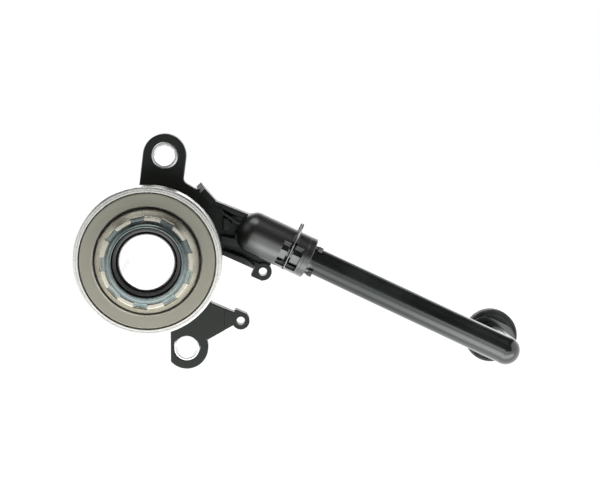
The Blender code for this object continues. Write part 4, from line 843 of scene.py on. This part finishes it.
THICK_RIB_FRONT = -13.0
THICK_RIB_SLANT = 3.4
rib_line = Vector((cos(THICK_RIB_TURN), sin(THICK_RIB_TURN)))
rib_side = Vector((rib_line.y, -rib_line.x)) * THICK_RIB_WIDTH
rib_end = THICK_RIB_START + rib_line * THICK_RIB_LENGTH
thick_rib = slab([tuple(THICK_RIB_START), tuple(rib_end), tuple(rib_end + rib_side),
                  tuple(THICK_RIB_START + rib_side)], THICK_RIB_FRONT, edge=0.0)
for vert in thick_rib.verts:
    along = (Vector((vert.co.x, vert.co.z)) - THICK_RIB_START).dot(rib_line)
    if vert.co.y < FLANGE_FRONT and along < 0.5 * THICK_RIB_LENGTH:
        vert.co.x += rib_line.x * THICK_RIB_SLANT
        vert.co.z += rib_line.y * THICK_RIB_SLANT
bmesh.ops.bevel(thick_rib, geom=[line for line in thick_rib.edges if line.calc_face_angle() > 0.3],
                offset=0.3, segments=2, profile=0.5, affect="EDGES")
forms.append(thick_rib)
for outline, front, edge in ((WEB, -6.0, 0.45), (ARM_FLOOR, -5.0, 0.2), (NECK, -13.7, 2.2),
                             (WEDGE, -14.0, 0.5), (FIN, -16.0, 0.3), (RIB, -12.0, 0.3),
                             (GUSSET, -11.0, 0.4), (PIN, -12.6, 0.2), (LOWER_WALL, -14.0, 0.4)):
    forms.append(slab(outline, front, ARM_BACK, edge))
forms.append(slab(EYE_STRIP, PLATE_FRONT, edge=0.3))

# The connector boss ends in a dome inside and a thicker rim outside, with two lugs at its mouth.
# Its socket is stepped for the pipe's plug. A window with a step along its upper side opens it to
# the front, and two slots let the wire clip in.
CONNECTOR_TURN = radians(-25.4)
ALONG = Vector((cos(CONNECTOR_TURN), 0.0, sin(CONNECTOR_TURN)))
UPWARD = Vector((-ALONG.z, 0.0, ALONG.x))
MOUTH = Vector((77.4, -15.0, -2.6))
BOSS_RADIUS = 10.3
BOSS_NECK = BOSS_RADIUS - 0.04
BOSS_GROOVE = BOSS_RADIUS - 0.12
DOME_START = -30.0
DOME_REACH = 8.0
WINDOW_INNER = -15.2
WINDOW_OUTER = -4.7
CLIP_PLACE = -10.2
SLOT_HALF = 1.3
SOCKET_RADIUS = 7.4
ARM_MIDDLE = (53.5, 8.8)
POCKET_COUNT = 12
connector = Matrix((ALONG.cross(UPWARD), ALONG, UPWARD)).transposed().to_4x4()
connector.translation = MOUTH


def in_connector(form):
    """Moves a form that was made on the origin's Y axis to the connector's axis."""
    bmesh.ops.transform(form, matrix=connector, verts=form.verts)
    return form


boss = [(0.0, 0.0), (9.9, 0.0, 0.2), (BOSS_RADIUS, -0.4), (BOSS_RADIUS, -3.1), (BOSS_GROOVE, -3.2),
        (BOSS_GROOVE, -3.35), (BOSS_NECK, -3.45), (BOSS_NECK, DOME_START)]
boss += [(BOSS_RADIUS * cos(radians(angle)), DOME_START - DOME_REACH * sin(radians(angle)))
         for angle in range(6, 90, 6)] + [(0.0, DOME_START - DOME_REACH)]
forms.append(in_connector(turned(rounded(boss), 112, closed=False)))
for up in (6.5, -6.5):
    forms += [in_connector(block((3.9, -1.0, up - 0.9), (5.2, 3.0, up + 0.9), 0.2)),
              in_connector(block((4.0, 1.4, up - 1.2), (6.5, 3.8, up + 1.2), 0.3))]
for form in forms:
    cut(housing, as_object("moulding", form), "UNION")

chamber = [(0.0, -26.0), (20.1, -26.0), (20.1, -25.0), (19.6, -24.5), (19.6, -24.2), (20.9, -24.2),
           (20.9, -22.3), (19.6, -22.3), (19.6, 0.0), (14.3, 0.0), (14.3, 0.65), (15.9, 0.65), (15.9, 2.55),
           (14.3, 2.55), (14.3, 3.2), (18.3, 3.2), (18.3, 6.0), (0.0, 6.0)]
socket = [(0.0, 4.9), (7.9, 4.9), (7.9, 0.1), (SOCKET_RADIUS, -0.5), (SOCKET_RADIUS, -17.0),
          (5.4, -18.2), (5.4, -26.5), (0.0, -26.5)]
forms = [turned(chamber, closed=False), in_connector(turned(socket, 96, closed=False)),
         in_connector(block((2.5, WINDOW_INNER, -8.6), (12.0, WINDOW_OUTER, 2.9), 0.25)),
         in_connector(block((8.9, WINDOW_INNER, 2.0), (12.0, WINDOW_OUTER, 3.5), 0.15))]
for near, far in ((5.8, 12.0), (-12.0, -5.8)):
    forms.append(in_connector(block((near, CLIP_PLACE - SLOT_HALF, -12.0),
                                    (far, CLIP_PLACE + SLOT_HALF, 12.0))))
holes = [arc(place[:2], BUSH_RADIUS + 0.3, 0.0, 360.0, 64) for place in EARS]
holes += [arc(middle, CLIP_EYE_RADIUS, 0.0, 360.0, 40) for middle, side in eye_places()]
forms += [slab(hole[:-1], -9.0, 1.0, 0.0) for hole in holes]

# Pockets thin the flange from the back, except behind the ears and the arm.
kept_solid = [degrees(atan2(z, x)) for x, z in (EARS[0][:2], EARS[1][:2], ARM_MIDDLE)]
for index in range(POCKET_COUNT):
    turn = (index + 0.5) * 360.0 / POCKET_COUNT
    if min(abs((turn - other + 180.0) % 360.0 - 180.0) for other in kept_solid) > 22.5:
        pocket = arc((0.0, 0.0), 29.2, turn - 12.9, turn + 12.9, 8)
        pocket += arc((0.0, 0.0), 24.8, turn + 12.9, turn - 12.9, 8)
        forms.append(slab(pocket, 1.0, -5.0, 0.0))
for form in forms:
    cut(housing, as_object("hollow", form))

nylon, place = begin("moulded_nylon")
flow = place.noise(0.05, 4.0, 0.6)
grain = place.noise(3.4, 3.0, 0.7)
fibres = place.scaled(1.0, 0.35, 1.0).noise(1.6, 4.0, 0.7)
round_edge, worn = edges_shown(place, 0.35)
tone = (flow * 0.5 + fibres * 0.3 + grain * 0.2).between(0.35, 0.68)
polish = place.part(0).between(44.0, 54.0) * (place.part(1) * -1.0).between(7.6, 9.0)
dress(nylon, place, Base_Color=worn.mix(tone.mix(NYLON_DARK, NYLON), (0.035, 0.034, 0.032)),
      Roughness=(flow * 0.6 + grain * 0.4).between(0.3, 0.7, 0.3, 0.46) - polish * 0.06,
      Coat_Weight=polish, Coat_IOR=1.8, Coat_Roughness=0.36, Specular_Tint=(0.88, 1.0, 0.93),
      Normal=(grain + fibres * 0.4).bump(0.012, 0.5, round_edge))
place_piece(housing, nylon, "housing_nylon", "housing", "housing", sharp=30.0)


# Bushes of the ears
# Rolled steel sleeves that are moulded into the ears, so that the bolts clamp steel and not
# plastic. Each shows the seam where the strip was rolled together.
BUSH_BORE = 5.0
BUSH_FRONT = -8.3

bush_steel, place = begin("rolled_bush_steel")
rolled = place.scaled(1.0, 0.2, 1.0).noise(2.4, 3.0)
dull = place.noise(0.5, 3.0)
dress(bush_steel, place, Metallic=1.0,
      Base_Color=(rolled * 0.5 + dull * 0.5).between(0.3, 0.7).mix((0.66, 0.66, 0.67), (0.88, 0.89, 0.9)),
      Roughness=dull.between(0.3, 0.7, 0.3, 0.42), Normal=rolled.bump(0.008, 0.5))
for name, place, seam in (("bush_upper", EARS[0], 88.0), ("bush_lower", EARS[1], 50.0)):
    profile = rounded([(BUSH_BORE, BUSH_FRONT, 0.35), (BUSH_RADIUS, BUSH_FRONT, 0.3),
                       (BUSH_RADIUS, 0.0, 0.1), (BUSH_BORE, 0.0, 0.3)])
    bush = as_object(name + "_ring", turned(profile, 72))
    gap = block((4.5, -9.0, -0.28), (5.85, 1.0, 0.28))
    bmesh.ops.rotate(gap, verts=gap.verts, matrix=Matrix.Rotation(radians(-seam), 3, "Y"))
    cut(bush, as_object("seam", gap))
    bush.data.transform(Matrix.Translation((place[0], 0.0, place[1])))
    place_piece(bush, bush_steel, "bush_steel", "housing", name)


# Pipe with its plug and elbow
# A stiff moulded pipe of black nylon. Its plug, with flats and a slot, is held in the connector,
# the round elbow turns it to the back, and an oval collar holds the grommet in front of the
# outlet spigot.
STRAIGHT = 107.35
ELBOW = MOUTH + ALONG * STRAIGHT
RING_GROOVE = 2.3
PLUG_RADIUS = 7.1
PLUG_END_RADIUS = 7.0
PLUG_FLATS = 8
PLUG_TURN = radians(9.5)
PIPE_AT_PLUG = 6.64
PIPE_AT_ELBOW = 7.0
ELBOW_RADIUS = 7.15

tube = [(0.0, -23.5), (1.75, -25.0), (4.8, -25.0, 0.3), (5.1, -24.6), (5.1, -23.0), (3.9, -23.0),
        (3.9, -23.0 + RING_GROOVE), (5.1, -23.0 + RING_GROOVE), (5.1, -16.4), (5.5, -16.0, 0.2),
        (5.8, -15.8), (5.8, -1.0), (PIPE_AT_PLUG, -0.3),
        (PIPE_AT_PLUG, -0.1, 0.2), (PIPE_AT_ELBOW, STRAIGHT - 1.0), (ELBOW_RADIUS, STRAIGHT - 0.4),
        (ELBOW_RADIUS, STRAIGHT), (0.0, STRAIGHT)]
pipe = as_object("pipe_body", in_connector(turned(rounded(tube), 112, closed=False)))
outlet = [(ELBOW_RADIUS * cos(radians(angle)), ELBOW_RADIUS * sin(radians(angle)))
          for angle in range(-90, 1, 6)]
outlet[0] = (0.0, -ELBOW_RADIUS)
outlet += rounded([
    (ELBOW_RADIUS, 0.0), (7.0, 2.0, 0.8), (7.0, 45.75), (4.0, 45.75), (4.0, 62.8, 0.4), (5.2, 64.0, 0.3),
    (5.2, 65.0, 0.3), (4.0, 66.2, 0.4), (4.0, 70.0), (2.9, 70.0), (2.9, 70.0 + RING_GROOVE),
    (4.0, 70.0 + RING_GROOVE), (4.0, 75.2, 0.3), (3.2, 76.0, 0.3), (0.0, 76.0)])
for near, far in ((-15.9, -11.5), (-8.9, -0.6)):
    flats = turned([(0.0, near), (PLUG_END_RADIUS, near), (PLUG_RADIUS, near + 0.2),
                    (PLUG_RADIUS, far - 0.2), (PLUG_END_RADIUS, far), (0.0, far)], PLUG_FLATS, False)
    bmesh.ops.rotate(flats, verts=flats.verts, matrix=Matrix.Rotation(PLUG_TURN, 3, "Y"))
    cut(pipe, as_object("plug_flats", in_connector(flats)), "UNION")
cut(pipe, as_object("plug_slot", in_connector(block((5.7, -15.0, 1.3), (9.0, -1.6, 2.3)))))
leg = turned(outlet, 112, closed=False)
bmesh.ops.translate(leg, verts=leg.verts, vec=ELBOW)
cut(pipe, as_object("leg", leg), "UNION")
collar_line = Vector((ALONG.x, ALONG.z)) * 3.6
elbow_spot = Vector((ELBOW.x, ELBOW.z))
collar = arc(tuple(elbow_spot + collar_line), 9.0, -115.4, 64.6)
collar += arc(tuple(elbow_spot - collar_line), 9.0, 64.6, 244.6)
cut(pipe, as_object("collar", slab(collar, 29.5, 32.0, 0.4)), "UNION")
straight_bore = in_connector(turned([(0.0, -26.0), (2.5, -26.0), (2.5, 106.9), (0.0, 106.9)], 36, False))
leg_bore = turned([(0.0, -2.8), (2.7, -2.6), (2.6, 77.0), (0.0, 77.0)], 40, False)
bmesh.ops.translate(leg_bore, verts=leg_bore.verts, vec=ELBOW)
for form in (straight_bore, leg_bore):
    cut(pipe, as_object("bore", form))

pipe_nylon, place = begin("pipe_nylon")
flow = place.noise(0.04, 4.0, 0.6)
grain = place.noise(4.2, 3.0, 0.7)
round_edge, worn = edges_shown(place, 0.4)
tone = (flow * 0.7 + grain * 0.3).between(0.35, 0.66)
shine = place.part(0).between(100.0, 172.0, 0.1, 0.8) + place.part(0).between(76.0, 79.0, 0.9, 0.0)
dress(pipe_nylon, place, Base_Color=worn.mix(tone.mix((0.01, 0.011, 0.011), (0.024, 0.026, 0.026)),
                                             (0.045, 0.047, 0.047)),
      Roughness=(flow * 0.6 + grain * 0.4).between(0.3, 0.7, 0.2, 0.3), Coat_Weight=shine,
      Coat_IOR=1.7, Coat_Roughness=0.16, Specular_Tint=(0.9, 1.0, 0.95),
      Normal=grain.bump(0.006, 0.5, round_edge))
place_piece(pipe, pipe_nylon, "pipe_nylon", "housing", "pipe", sharp=30.0)


# O-rings
# Moulded rubber rings of round section. They seal the pipe's plug in the connector, the outlet
# spigot in the next pipe, and the housing's rear spigot in the gearbox case.
o_ring_rubber, place = begin("o_ring_rubber")
bloom = place.noise(0.5, 4.0)
flash = place.noise(6.0, 2.0)
dress(o_ring_rubber, place, Base_Color=bloom.between(0.35, 0.8).mix(RUBBER, (0.026, 0.026, 0.028)),
      Roughness=bloom.between(0.3, 0.7, 0.36, 0.55), Normal=flash.bump(0.008, 0.5))


def o_ring(radius, thickness, depth, facets):
    """A ring of round section at a depth on the Y axis."""
    section = [(radius + thickness * p, depth + thickness * q)
               for p, q in arc((0.0, 0.0), 1.0, 0.0, 345.0, 23)]
    return turned(section, facets)


plug_ring = in_connector(o_ring(4.8, 0.6, -21.85, 96))
outlet_ring = o_ring(3.75, 0.55, 71.15, 72)
bmesh.ops.translate(outlet_ring, verts=outlet_ring.verts, vec=ELBOW)
spigot_ring = o_ring(21.1, 0.8, 2.7, 128)
for name, form in (("pipe_o_ring", plug_ring), ("outlet_o_ring", outlet_ring),
                   ("spigot_o_ring", spigot_ring)):
    place_piece(as_object(name + "_round", form), o_ring_rubber, "seal_rubber", "housing", name)


# Grommet
# Soft black rubber. Its neck snaps into the hole that the pipe leaves the gearbox through, and
# a fine raised line runs round its front face.
grommet_rubber, place = begin("grommet_rubber")
bloom = place.noise(0.25, 4.0, 0.6)
pores = place.noise(4.5, 3.0)
round_edge, worn = edges_shown(place, 0.5)
dress(grommet_rubber, place,
      Base_Color=(bloom + worn * 0.4).between(0.35, 0.85).mix((0.035, 0.036, 0.035), (0.09, 0.092, 0.09)),
      Roughness=bloom.between(0.3, 0.7, 0.42, 0.58), Specular_Tint=(0.9, 1.0, 1.0),
      Normal=pores.bump(0.015, 0.5, round_edge))
profile = rounded([
    (4.3, 33.0), (7.3, 32.3, 0.2), (11.2, 32.3, 0.2), (11.5, 32.7, 0.15), (12.1, 32.7, 0.15),
    (12.4, 32.3, 0.2), (13.7, 32.3, 0.7), (13.7, 38.3, 0.5), (10.4, 38.3, 0.4), (10.4, 40.8, 0.4),
    (13.0, 40.8, 0.4), (11.8, 44.3, 0.6), (4.3, 44.3, 0.3)])
grommet = turned(profile, 112)
bmesh.ops.translate(grommet, verts=grommet.verts, vec=(ELBOW.x, 0.0, ELBOW.z))
place_piece(as_object("grommet_body", grommet), grommet_rubber, "grommet_rubber", "housing", "grommet")


# Wire clip
# Spring wire with bright plating, bent to a U. Its two legs drop through the slots of the
# connector into the groove of the pipe's plug, and pulling it up frees the pipe.
CLIP_REACH = 6.63
CLIP_FOOT = -9.9
CLIP_TOP = 13.87
CLIP_BEND = 1.6
CLIP_WIRE = 0.53

tree, given = geometry_tree("bent wire", ["Bend Radius", "Wire Radius"])
line = given["Geometry"].node("GeometryNodeMeshToCurve", {}, {"Mesh": given["Geometry"]})
bent_line = line.node("GeometryNodeFilletCurve", {"mode": "POLY"}, {
    "Curve": line, "Radius": given["Bend Radius"], "Count": 10})
section = line.node("GeometryNodeCurvePrimitiveCircle", {}, {
    "Resolution": 20, "Radius": given["Wire Radius"]})
wire = line.node("GeometryNodeCurveToMesh", {}, {
    "Curve": bent_line, "Profile Curve": section, "Fill Caps": True})
bent_wire = close_tree(given, wire)

plated_wire, place = begin("plated_wire")
drawn = place.scaled(1.0, 1.0, 0.3).noise(3.0, 3.0)
handled = place.noise(0.3, 3.0)
dress(plated_wire, place, Metallic=1.0,
      Base_Color=(drawn * 0.4 + handled * 0.6).between(0.3, 0.7).mix((0.22, 0.22, 0.215), (0.46, 0.47, 0.47)),
      Roughness=handled.between(0.3, 0.7, 0.24, 0.36), Normal=drawn.bump(0.008, 0.4))
line = bmesh.new()
corners = [line.verts.new(connector @ Vector((depth, CLIP_PLACE, up)))
           for depth, up in ((CLIP_REACH, CLIP_FOOT), (CLIP_REACH, CLIP_TOP),
                             (-CLIP_REACH, CLIP_TOP), (-CLIP_REACH, CLIP_FOOT))]
for pair in zip(corners, corners[1:]):
    line.edges.new(pair)
mesh = bpy.data.meshes.new("clip_line")
line.to_mesh(mesh)
line.free()
clip = bpy.data.objects.new("clip_wire", mesh)
bpy.context.scene.collection.objects.link(clip)
grown(clip, bent_wire, {"Bend Radius": CLIP_BEND, "Wire Radius": CLIP_WIRE}, plated_wire)
place_piece(clip, plated_wire, "plated_wire", "wire_clip", "wire_clip")
